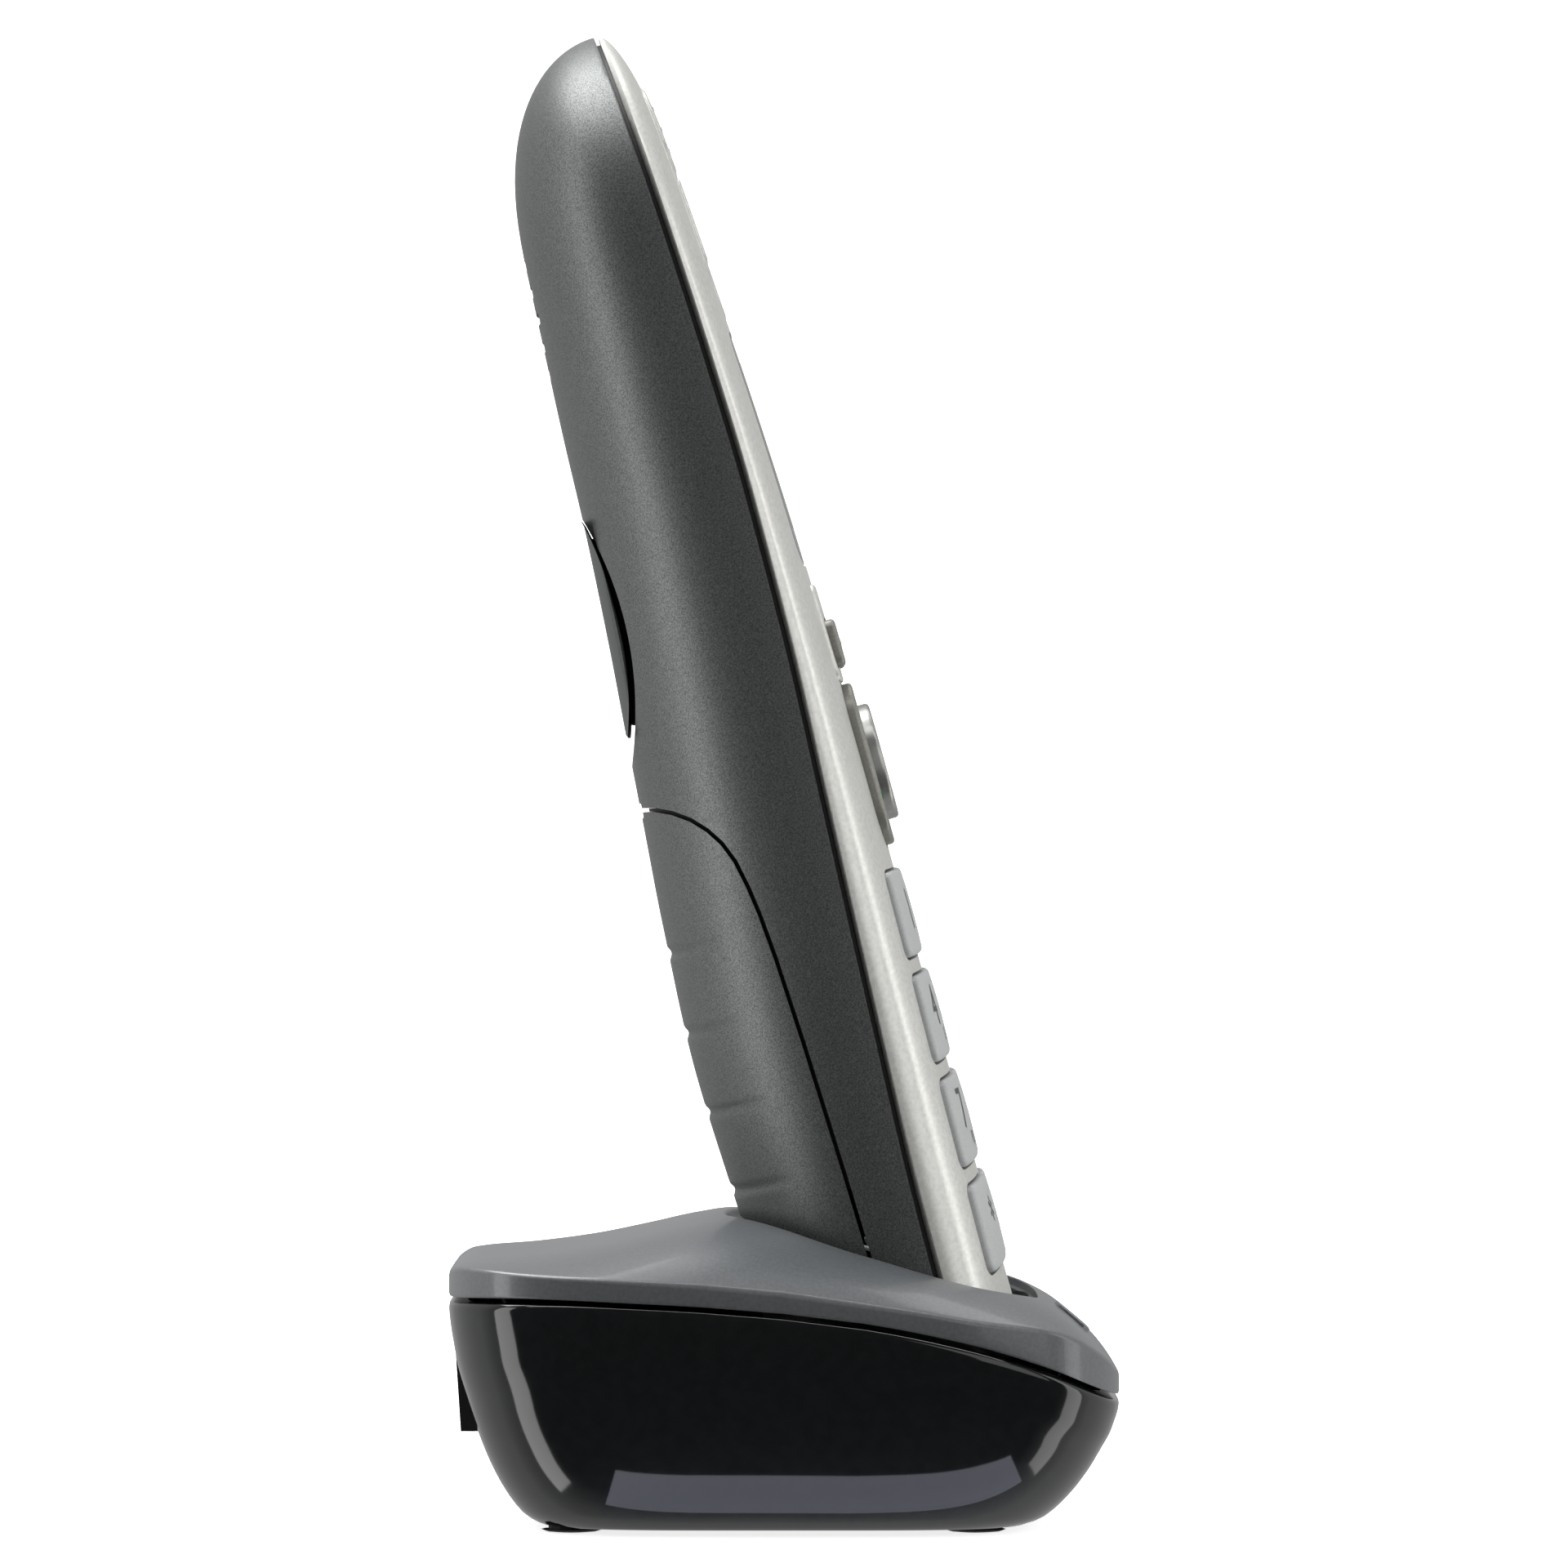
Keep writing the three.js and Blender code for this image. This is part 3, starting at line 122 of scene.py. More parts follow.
def seam_at(z):
    """Y of the joint between the shells."""
    return seam_curve(z / LENGTH)


def depth_at(z, side):
    """Depth of the shell in front of the seam (side -1) or behind it (side 1)."""
    if side < 0:
        return (seam_at(z) - front_curve(z / LENGTH)) * closing(z, FRONT_ROUND, 2.2)
    return (back_curve(z / LENGTH) - seam_at(z)) * closing(z, BACK_ROUND, 2.6)


def half_at(z):
    """Half the handset's width."""
    return (WIDTH / 2 + side_curve(z / LENGTH)) * closing(z, SIDE_ROUND, 2.4)


def foot_inset(z):
    """How far the rounding of the foot draws the outline in."""
    t = max(0, 1 - z / FOOT_ROUND)
    return FOOT_ROUND * (1 - math.sqrt(max(0, 1 - t * t)))


def skin(x, z, side, inset=0.0):
    """Y of the handset's surface over the point (x, z), moved inwards by inset."""
    draw = inset + foot_inset(max(0, z))
    half = max(LEAST, half_at(z) - draw)
    depth = max(LEAST, depth_at(z, side) - draw)
    bulge = FRONT_BULGE if side < 0 else BACK_BULGE
    across = min(1, abs(x) / half)
    return seam_at(z) + side * depth * (1 - across ** bulge) ** (1 / bulge)


# ------------------------------------------------------------------ meshes

MERGE_DISTANCE = 0.004
LARGE_FACE_SHARE = 90


def piece(name, points, faces, place=STAND, smooth=40):
    """A mesh object from millimetre points, with edges sharper than `smooth` degrees kept hard."""
    mesh = bpy.data.meshes.new(name)
    mesh.from_pydata([place @ (Vector(point) * MM) for point in points], [], faces)
    obj = bpy.data.objects.new(name, mesh)
    bpy.context.collection.objects.link(obj)
    soften(obj, smooth)
    return obj


def soften(obj, smooth=40):
    """Faces point outwards and shade smoothly, apart from edges sharper than `smooth` degrees."""
    form = bmesh.new()
    form.from_mesh(obj.data)
    bmesh.ops.remove_doubles(form, verts=form.verts, dist=MERGE_DISTANCE * MM)
    bmesh.ops.recalc_face_normals(form, faces=form.faces)
    limit = math.radians(smooth)
    for face in form.faces:
        face.smooth = True
    for edge in form.edges:
        edge.smooth = len(edge.link_faces) != 2 or edge.calc_face_angle(0) < limit
    form.to_mesh(obj.data)
    form.free()


def rings(name, loops, place=STAND, caps=(True, True), smooth=40):
    """A skin over closed loops of equally many points, one after another."""
    count = len(loops[0])
    points = [point for loop in loops for point in loop]
    faces = []
    for row in range(len(loops) - 1):
        for i in range(count):
            j = (i + 1) % count
            a, b = row * count, (row + 1) * count
            faces.append((a + i, a + j, b + j, b + i))
    for end, wanted in zip((0, len(loops) - 1), caps):
        if wanted:
            loop = loops[end]
            middle = [sum(point[axis] for point in loop) / count for axis in range(3)]
            points.append(middle)
            start = end * count
            for i in range(count):
                faces.append((start + i, start + (i + 1) % count, len(points) - 1))
    return piece(name, points, faces, place, smooth)


def carve(obj, operation, *tools):
    """Applies a join or cut by throwaway solids."""
    for tool in tools:
        step = obj.modifiers.new("carve", "BOOLEAN")
        step.operation = operation
        step.solver = "EXACT"
        step.object = tool
    apply(obj)
    for tool in tools:
        bpy.data.objects.remove(tool)
    soften(obj)


def steady(obj):
    """Lets the large faces set the shading where they meet slivers left by a cut."""
    weigh = obj.modifiers.new("large_faces_lead", "WEIGHTED_NORMAL")
    weigh.keep_sharp = True
    weigh.weight = LARGE_FACE_SHARE


def apply(obj):
    """Fixes an object's modifiers into its mesh."""
    shape = obj.evaluated_get(bpy.context.evaluated_depsgraph_get())
    mesh = bpy.data.meshes.new_from_object(shape)
    obj.modifiers.clear()
    obj.data = mesh


def prism(outline, low, high, axis="Y", place=STAND):
    """A flat outline pushed along one axis: [x, z] along Y, [y, z] along X or [x, y] along Z."""
    def point(u, v, w):
        return {"Y": (u, w, v), "X": (w, u, v), "Z": (u, v, w)}[axis]

    loops = [[point(u, v, w) for u, v in outline] for w in (low, high)]
    count = len(outline)
    faces = [(i, (i + 1) % count, count + (i + 1) % count, count + i) for i in range(count)]
    faces += [tuple(range(count)), tuple(range(count, 2 * count))]
    return piece("tool", loops[0] + loops[1], faces, place)


def rounded(cx, cz, width, height, corner, steps=6, chords=1):
    """A rounded rectangle, its straight sides in `chords` parts."""
    turns = []
    quarter = math.pi / 2
    for index, (sx, sz) in enumerate([(1, 1), (-1, 1), (-1, -1), (1, -1)]):
        x, z = cx + sx * (width / 2 - corner), cz + sz * (height / 2 - corner)
        for i in range(steps + 1):
            angle = index * quarter + i / steps * quarter
            turns.append((x + corner * math.cos(angle), z + corner * math.sin(angle)))
    points = []
    for i, start in enumerate(turns):
        points.append(start)
        end = turns[(i + 1) % len(turns)]
        if (i + 1) % (steps + 1) == 0:
            for k in range(1, chords):
                share = k / chords
                points.append(tuple(a + (b - a) * share for a, b in zip(start, end)))
    return points


TURNED_SIDES = 96


def circle(cx, cz, diameter, sides):
    return [(cx + diameter / 2 * math.cos(2 * math.pi * i / sides),
             cz + diameter / 2 * math.sin(2 * math.pi * i / sides)) for i in range(sides)]


def turned(name, profile, cx, cz):
    """A turned piece: [radius, y] profile about an axis through (cx, cz)."""
    loops = []
    for radius, y in profile:
        loops.append([(u, y, v) for u, v in circle(cx, cz, 2 * max(radius, 0.001), TURNED_SIDES)])
    return rings(name, loops)


# ------------------------------------------------------------------ materials

def srgb(hex_colour):
    """An sRGB hex colour as linear RGBA."""
    channels = [int(hex_colour[i:i + 2], 16) / 255 for i in (1, 3, 5)]
    return [c / 12.92 if c <= 0.04045 else ((c + 0.055) / 1.055) ** 2.4 for c in channels] + [1]


def material(name, **values):
    """A material with its shader's own values set, and the tree to add to."""
    made = bpy.data.materials.new(name)
    made.use_nodes = True
    tree = made.node_tree
    shader = tree.nodes["Principled BSDF"]
    for key, value in values.items():
        shader.inputs[key.replace("_", " ")].default_value = value
    return made, tree, shader


def node(tree, kind, settings=None, **links):
    """Adds a node with its settings, and links or values for its inputs."""
    made = tree.nodes.new(kind)
    for key, value in (settings or {}).items():
        setattr(made, key, value)
    for key, value in links.items():
        socket = made.inputs[int(key[1:])] if key[0] == "i" and key[1:].isdigit() else made.inputs[key]
        if isinstance(value, bpy.types.NodeSocket):
            tree.links.new(value, socket)
        else:
            socket.default_value = value
    return made


# The part of the noise's range that the two tones of a surface share out.
SPECKLE_LOW, SPECKLE_HIGH = 0.35, 0.65


def grain(name, dark, light, size, depth, **values):
    """A moulded or painted surface: a fine speckle between two tones, and a bump of the same grain.

    size and depth are the grain's, in millimetres.
    """
    made, tree, shader = material(name, **values)
    place = node(tree, "ShaderNodeTexCoord")
    speckle = node(tree, "ShaderNodeTexNoise", None, Vector=place.outputs["Object"],
                   Scale=1 / (size * MM), Detail=2.0, Roughness=0.6)
    tone = node(tree, "ShaderNodeMapRange", None, Value=speckle.outputs["Fac"],
                i1=SPECKLE_LOW, i2=SPECKLE_HIGH)
    blend = node(tree, "ShaderNodeMix", {"data_type": "RGBA"}, Factor=tone.outputs["Result"],
                 i6=srgb(dark), i7=srgb(light))
    tree.links.new(blend.outputs[2], shader.inputs["Base Color"])
    bump = node(tree, "ShaderNodeBump", None, Height=speckle.outputs["Fac"], Strength=1.0,
                Distance=depth * MM)
    tree.links.new(bump.outputs["Normal"], shader.inputs["Normal"])
    return made


# Sprayed metallic lacquer on ABS: aluminium flake about 0.05 mm, drawn at 0.16 mm so that it
# shows, gives a dark grey that sparkles a little and has broad soft highlights.
grey_lacquer = grain("grey_flake_lacquer", "#4e5050", "#757776", 0.16, 0.006,
                     Metallic=0.75, Roughness=0.47)
# Sprayed silver lacquer on ABS: pale and satin, with the slight orange peel of a thick coat,
# waves about 0.5 mm.
silver_lacquer = grain("silver_lacquer", "#cdcdc9", "#dadad5", 0.5, 0.006,
                       Metallic=0.6, Roughness=0.4)
# ABS keys moulded against a spark-eroded tool, then clear-coated: pale grey with crisp edge lines.
key_plastic = grain("satin_key_abs", "#acafaf", "#b6b9b8", 0.25, 0.003, Roughness=0.4, IOR=1.5,
                    Coat_Weight=0.3, Coat_Roughness=0.15)
# Sprayed lacquer with a little flake on the keys round the ring: a warm mid grey, satin.
cluster_lacquer = grain("warm_grey_lacquer", "#7e7d76", "#8a8982", 0.3, 0.004,
                        Metallic=0.45, Roughness=0.4)
# Injection-moulded acetal of the clip: dark and dull, with no paint.
clip_plastic = grain("dark_grey_acetal", "#3a3d3d", "#454848", 0.3, 0.004, Roughness=0.48, IOR=1.48)
# ABS of the base moulded against a polished tool: nearly black, with sharp reflections.
gloss_plastic = grain("polished_dark_abs", "#0f1112", "#141617", 1.5, 0.0002, Roughness=0.08, IOR=1.47)
# Satin grey ABS of the base's cover under a thin clear coat, which draws a line along its rim.
cover_plastic = grain("satin_grey_abs", "#525557", "#5a5d60", 0.4, 0.001, Roughness=0.4, IOR=1.52,
                      Coat_Weight=0.35, Coat_Roughness=0.12)
# Unpainted black ABS, finely grained: takes no highlight. On the seam rib and the cover lip the same black
# is painted shade for the dark deep in the joints.
black_plastic = grain("black_abs_and_painted_shade", "#0c0d0d", "#141515", 0.3, 0.01, Roughness=0.55, IOR=1.5)
# Moulded rubber, dull and slightly uneven. On the pad under the clip the same near-black is painted shade
# for the dark gap there.
foot_rubber = grain("moulded_rubber_and_painted_shade", "#171817", "#232422", 0.5, 0.02, Roughness=0.85, IOR=1.5)
# Moulded silicone of the keypad mat: milky and soft.
mat_silicone = grain("white_silicone", "#cfd1cc", "#dedfda", 0.6, 0.01, Roughness=0.6, IOR=1.42)
# Satin chrome plate on moulded ABS: grey, with blurred reflections.
chrome = grain("satin_chrome_plate", "#979894", "#a3a4a0", 0.8, 0.0008, Metallic=0.9, Roughness=0.34)
# Cast acrylic window, tinted: black with clear reflections.
window = grain("tinted_acrylic", "#0d1012", "#111416", 2, 0.0004, Roughness=0.05, IOR=1.49)
# Glass of the liquid crystal panel, grey-green when off.
panel = grain("liquid_crystal_glass", "#7d877c", "#848e83", 0.5, 0.001, Roughness=0.2, IOR=1.52)
# Printed solder mask over glass-fibre board: a deep satin green.
board_mask = grain("green_solder_mask", "#1b5136", "#246543", 0.5, 0.01, Roughness=0.45, IOR=1.5)
# Nickel-plated steel, lightly drawn: a slightly warm bright grey.
plated_steel = grain("nickel_plated_steel", "#a5a6a8", "#b8b9ba", 0.3, 0.004, Metallic=1.0, Roughness=0.3)
# Gold flash on the contacts: thin and a little pale.
gold_plate = grain("gold_flash", "#c29a48", "#d3ae5e", 0.3, 0.003, Metallic=1.0, Roughness=0.28)
# Printed shrink wrap of the cells: smooth and green.
cell_wrap = grain("printed_shrink_wrap", "#3a6b54", "#43785f", 1, 0.004, Roughness=0.35, IOR=1.5)
# Silk-screened inks on the keys, all dull: dark grey, white, green and red.
key_ink = grain("screened_ink", "#3c4042", "#464a4c", 0.2, 0.004, Roughness=0.6)
white_ink = grain("white_ink", "#d4d5d3", "#dedfdd", 0.2, 0.004, Roughness=0.55)
green_ink = grain("green_ink", "#2f8a4a", "#379a55", 0.2, 0.004, Roughness=0.55)
red_ink = grain("red_ink", "#a3332e", "#b33d36", 0.2, 0.004, Roughness=0.55)


def dress(obj, finish, body, slot, *stands_for):
    """Gives a piece its finish, the body it moves with, and the CAD nodes it stands for."""
    obj.data.materials.clear()
    obj.data.materials.append(finish)
    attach(obj, body)
    if stands_for:
        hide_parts(*stands_for)
    return obj


# ------------------------------------------------------------------ handset shells

TOP_ROWS, TOP_CROWDING = 28, 2.4
CHORD_PARTS = 8


def stations(low, high, step):
    """Places along the handset, closer together where its ends close."""
    places = [low] + [share * FOOT_ROUND for share in (0.1, 0.25, 0.45, 0.7, 1)]
    z = FOOT_ROUND + step
    while z < LENGTH - BACK_ROUND - step / 2:
        places.append(z)
        z += step
    places += [LENGTH - BACK_ROUND * (1 - i / TOP_ROWS) ** TOP_CROWDING for i in range(TOP_ROWS)]
    return sorted({round(z, 4) for z in places if low <= z <= high} | {low, high})


def half_body(name, side, inset, low, high, over=0.0, edge=0.0, relief=None, fine=96, step=1.6):
    """One half of the handset as a closed solid, cut flat along the seam.

    over carries the flat past the seam, edge bevels its rim, relief(z, angle) dents the skin,
    fine and step set how closely its points lie round and along.
    """
    bulge = FRONT_BULGE if side < 0 else BACK_BULGE
    loops = []
    for z in stations(low, high, step):
        draw = inset + foot_inset(max(0, z))
        half = max(LEAST, half_at(z) - draw)
        depth = max(LEAST, depth_at(z, side) - draw)
        flat = seam_at(z) + side * (SEAM_GAP / 2 - over)
        nip = min(edge, 0.4 * depth)
        start = math.asin(min(0.9, max(0, (SEAM_GAP / 2 - over + nip) / depth)) ** (bulge / 2))
        loop = []
        for i in range(fine + 1):
            angle = start + (math.pi - 2 * start) * i / fine
            x = half * power(math.cos(angle), 2 / bulge)
            out = depth * math.sin(angle) ** (2 / bulge)
            if relief:
                out -= relief(z, angle)
            loop.append((x, seam_at(z) + side * out, z))
        ends = [(x * (1 - BEVEL_SLOPE * nip / half), flat, z) for x, _, z in (loop[-1], loop[0])]
        (left, _, _), (right, _, _) = ends
        chord = [(left * (1 - k / CHORD_PARTS) + right * k / CHORD_PARTS, flat, z)
                 for k in range(CHORD_PARTS + 1)]
        loops.append(loop + chord)
    return rings(name, loops, smooth=35)


def hollow(side, top=LENGTH - 1.3 * WALL):
    """The room inside one half of the handset."""
    return half_body("tool", side, WALL, WALL, top, over=1.5, fine=40, step=6)


def merged(tools):
    """Several separate cutters as one object."""
    form = bmesh.new()
    for tool in tools:
        form.from_mesh(tool.data)
        bpy.data.objects.remove(tool)
    mesh = bpy.data.meshes.new("tools")
    form.to_mesh(mesh)
    form.free()
    obj = bpy.data.objects.new("tools", mesh)
    bpy.context.collection.objects.link(obj)
    return obj


# Keypad: size of a key, pitch of columns and rows, how far it stands out, how much rows bend.
KEY_WIDTH, KEY_LENGTH, KEY_CORNER = 11.7, 9.3, 1.0
COLUMN_PITCH, ROW_PITCH, BOTTOM_ROW = 14.2, 11.3, 14.05
KEY_PROUD = 0.75
ROW_BEND = 0.8
CLUSTER_GAP = 2.7
# Each raised key: its size, how far it stands out, how deep its sides go.
CALL_LENGTH, CALL_REACH, CALL_PROUD, CALL_PLATE = 17.9, 14.4, 0.85, 1.55
CALL_START = 0.6
RING_SIZE, RING_BORE, RING_PROUD, RING_HOLE = 12.8, 7.6, 2.1, 14.0
SOFT_LENGTH, SOFT_WIDTH, SOFT_PROUD, SOFT_PLATE = 5.2, 11, 1.1, 1.7
WELL_ROOM = 0.85
SOFT_GAP, DECK_PROUD, DECK_MARGIN = 1.9, 0.35, 4.1
LENS_WIDTH, LENS_CORNER, LENS_GAP = 34, 3, 2.4
TRIM_LENGTH, TRIM_WIDTH, TRIM_TOP, TRIM_PROUD = 26, 30, 7.1, 0.1
TRIM_PADS = [("earpiece_pad", 140.6, 131.6, 25, 4), ("blank_name_plate", 130.2, 121.4, 26, 1.2)]
PAD_PROUD = 0.16
FIT = 0.3
# Cutters reach this far out of the handset, and this far to each side.
FAR, ACROSS = 60, 50

KEYS_TOP = BOTTOM_ROW + 3 * ROW_PITCH + KEY_LENGTH / 2
CALL_BOTTOM = KEYS_TOP + CLUSTER_GAP
CALL_TOP = CALL_BOTTOM + CALL_LENGTH
NAV_Z = CALL_BOTTOM + CALL_LENGTH / 2
SOFT_BOTTOM = CALL_TOP + SOFT_GAP
SOFT_TOP = SOFT_BOTTOM + SOFT_LENGTH
SOFT_MIDDLE = SOFT_WIDTH / 2 + 3
DECK_TOP = SOFT_TOP + DECK_MARGIN
DECK_BOTTOM = CALL_TOP + FIT
DECK_HALF = SOFT_WIDTH + 3.8
TRIM_HIGH = LENGTH - TRIM_TOP
TRIM_LOW = TRIM_HIGH - TRIM_LENGTH
SOUND_Z, SOUND_PITCH = 136, 2.4
LENS_LOW = DECK_TOP + LENS_GAP
LENS_HIGH = TRIM_LOW - LENS_GAP

DIGITS = [("key_1", -1, 3, "1", ""), ("key_2", 0, 3, "2", "ABC"), ("key_3", 1, 3, "3", "DEF"),
          ("key_4", -1, 2, "4", "GHI"), ("key_5", 0, 2, "5", "JKL"), ("key_6", 1, 2, "6", "MNO"),
          ("key_7", -1, 1, "7", "PQRS"), ("key_8", 0, 1, "8", "TUV"), ("key_9", 1, 1, "9", "WXYZ"),
          ("key_star", -1, 0, "*", ""), ("key_0", 0, 0, "0", ""), ("key_hash", 1, 0, "#", "")]


def droop(x, z):
    """Rows of keys droop at their ends, more towards the foot."""
    low = min(1.3, max(0, (KEYS_TOP - z) / (KEYS_TOP - BOTTOM_ROW)))
    return z - ROW_BEND * low ** 1.5 * (x / (WIDTH * 0.4)) ** 2


def key_outline(column, row, margin):
    x, z = column * COLUMN_PITCH, BOTTOM_ROW + row * ROW_PITCH
    points = rounded(x, z, KEY_WIDTH + 2 * margin, KEY_LENGTH + 2 * margin, KEY_CORNER + margin, 5, 4)
    return [(u, droop(u, v)) for u, v in points]


def soft_outline(side, margin):
    x, z = side * SOFT_MIDDLE, (SOFT_BOTTOM + SOFT_TOP) / 2
    return rounded(x, z, SOFT_WIDTH + 2 * margin, SOFT_LENGTH + 2 * margin, 1.2 + margin, 5, 3)


def call_outline(side, margin):
    width = CALL_REACH - CALL_START
    return rounded(side * (CALL_START + width / 2), NAV_Z, width + 2 * margin, CALL_LENGTH + 2 * margin,
                   4.5 + margin, 8, 3)


def lens_outline(margin):
    return rounded(0, (LENS_LOW + LENS_HIGH) / 2, LENS_WIDTH + 2 * margin,
                   LENS_HIGH - LENS_LOW + 2 * margin, LENS_CORNER + margin, 6, 12)


def trim_outline(margin):
    return rounded(0, (TRIM_LOW + TRIM_HIGH) / 2, TRIM_WIDTH + 2 * margin,
                   TRIM_LENGTH + 2 * margin, 7 + margin, 8, 10)


CALL_FACE = skin(0, NAV_Z, -1) - CALL_PROUD
SOFT_FACE = skin(0, SOFT_BOTTOM, -1) - SOFT_PROUD
RING_FACE = skin(0, NAV_Z, -1) - RING_PROUD


def sound_slots(low, high):
    return [prism(rounded(0, SOUND_Z + row * SOUND_PITCH, 11 - abs(row) * 2, 1.1, 0.54), low, high)
            for row in (-1, 0, 1)]


def soft_wells():
    return merged([prism(soft_outline(side, FIT), -FAR, SOFT_FACE + SOFT_PLATE + WELL_ROOM)
                   for side in (-1, 1)])


def front_shell():
    shell = half_body("front_shell_skin", -1, 0, 0, LENGTH - 0.06, edge=0.5)
    carve(shell, "DIFFERENCE", hollow(-1))
    cutters = [prism(key_outline(column, row, FIT), -FAR, seam_at(50)) for _, column, row, _, _ in DIGITS]
    cutters.append(prism(lens_outline(FIT), -FAR, seam_at(100)))
    cutters.append(prism(circle(0, 4.6, 1.6, 24), -FAR, seam_at(10)))
    carve(shell, "DIFFERENCE", merged(cutters))
    for side in (-1, 1):
        carve(shell, "DIFFERENCE", prism(call_outline(side, FIT), -FAR, CALL_FACE + CALL_PLATE + WELL_ROOM))
    carve(shell, "DIFFERENCE", soft_wells())
    carve(shell, "DIFFERENCE", prism(circle(0, NAV_Z, RING_HOLE, TURNED_SIDES), -FAR, seam_at(NAV_Z)))
    return dress(shell, silver_lacquer, "handset", "silver_shell", "front_shell")


# Scoop behind the belt clip: part of a drum lying across the back.
SCOOP_RADIUS, SCOOP_DEPTH, SCOOP_TOP, SCOOP_LENGTH = 38.5, 2.5, 98, 27.3
DRUM_HALF_ARC, DRUM_STEPS = 0.52, 60
CLIP_WIDTH, CLIP_LENGTH, CLIP_GAP = 22, 23.4, 0.7
CHORD_Z = SCOOP_TOP - SCOOP_LENGTH / 2
CHORD_HALF = 13
CHORD_FALL = back_curve((CHORD_Z - CHORD_HALF) / LENGTH) - back_curve((CHORD_Z + CHORD_HALF) / LENGTH)
CHORD_TILT = math.atan2(CHORD_FALL, 2 * CHORD_HALF)
DRUM_Y = back_curve(CHORD_Z / LENGTH) + 0.1 + (SCOOP_RADIUS - SCOOP_DEPTH) * math.cos(CHORD_TILT)
DRUM_Z = CHORD_Z + (SCOOP_RADIUS - SCOOP_DEPTH) * math.sin(CHORD_TILT)


def drum_y(z, grow=0.0):
    """Y of the scoop's floor at z."""
    reach = SCOOP_RADIUS + grow
    return DRUM_Y - math.sqrt(max(0, reach * reach - (z - DRUM_Z) ** 2))


def drum(grow):
    """The part of the drum that meets the back, grown by a wall where it cuts the inside."""
    arc = [math.pi + DRUM_HALF_ARC - 2 * DRUM_HALF_ARC * i / DRUM_STEPS for i in range(DRUM_STEPS + 1)]
    reach = SCOOP_RADIUS + grow
    points = [(DRUM_Y + reach * math.cos(a), DRUM_Z + reach * math.sin(a)) for a in arc]
    points += [(DRUM_Y, DRUM_Z + 3), (DRUM_Y, DRUM_Z - 3)]
    return prism(points, -ACROSS, ACROSS, "X")


COVER_TOP = 65.8
# The cover's foot climbs towards the back, so a margin there is measured along a slope.
COVER_FOOT_SLOPE, FOOT_MARGIN_SCALE = 0.65, 1.3
# The cover's edge in side view, [y, z] from its foot to its top.
COVER_SEAM = [(-0.6, 13), (-0.37, 22.9), (0.1, 37.4), (0.55, 47), (0.95, 52), (1.35, 55), (1.95, 58),
              (2.8, 60.2), (3.9, 61.9), (5.3, 63.4), (7, 64.6), (8.6, 65.35), (10.2, 65.75)]


def beside(point, before, after, margin):
    """The point moved square to the line between its neighbours, to the left of it."""
    run, rise = after[0] - before[0], after[1] - before[1]
    length = math.hypot(run, rise)
    return point[0] - margin * rise / length, point[1] + margin * run / length


def cover_region(margin):
    """Side view of the battery cover, pushed right across the handset."""
    def foot(y):
        return COVER_SEAM[0][1] + COVER_FOOT_SLOPE * (y - COVER_SEAM[0][0]) - FOOT_MARGIN_SCALE * margin

    edge = COVER_SEAM[0][0] - margin
    points = [(edge, foot(edge)), (FAR, foot(FAR)), (FAR, COVER_TOP + margin)]
    for i in range(len(COVER_SEAM) - 1, 0, -1):
        after = COVER_SEAM[min(i + 1, len(COVER_SEAM) - 1)]
        points.append(beside(COVER_SEAM[i], COVER_SEAM[i - 1], after, margin))
    return prism(points, -ACROSS, ACROSS, "X")


def finger_notch():
    """The small recess at the cover's top edge where a fingernail catches."""
    y = skin(0, COVER_TOP, 1)
    return prism(rounded(0, COVER_TOP + 0.1, 12, 1.6, 0.7), y - 0.8, FAR)


SPEAKER_Z = LENGTH - 28


def back_shell():
    shell = half_body("back_shell_skin", 1, 0, 0, LENGTH - 0.06, edge=0.15)
    inner = hollow(1)
    carve(inner, "DIFFERENCE", drum(WALL))
    slots = [prism(rounded(0, SPEAKER_Z + row * 3, 14 - abs(row) * 3, 1.2, 0.59), 2, FAR)
             for row in (-2, -1, 0, 1, 2)]
    carve(shell, "DIFFERENCE", inner)
    carve(shell, "DIFFERENCE", drum(0))
    carve(shell, "DIFFERENCE", cover_region(SEAM_GAP))
    carve(shell, "DIFFERENCE", merged(slots + [finger_notch()]))
    return dress(shell, grey_lacquer, "handset", "grey_shell", "back_shell")


# The lip stays above the cover's foot, which turns inwards as the cover swings out.
LIP_LOW, LIP_HIGH, LIP_BACK = 21.3, 75, 2.8


def cover_lip():
    """Thin lip of the back shell that stands in the joint round the battery cover. It closes the joint, and
    its black is painted shade for the dark deep in the gap.
    """
    lip = half_body("cover_lip", 1, LIP_INSET, LIP_LOW, LIP_HIGH, fine=48, step=1.2)
    carve(lip, "DIFFERENCE", half_body("tool", 1, LIP_BACK, 3, LIP_HIGH + 5, over=1.5, fine=40, step=6))
    carve(lip, "INTERSECT", cover_region(SEAM_GAP - 0.05))
    carve(lip, "DIFFERENCE", cover_region(0.05))
    # The lip's black is painted shade in the joint round the battery cover.
    return dress(lip, black_plastic, "handset", "black_plastic")


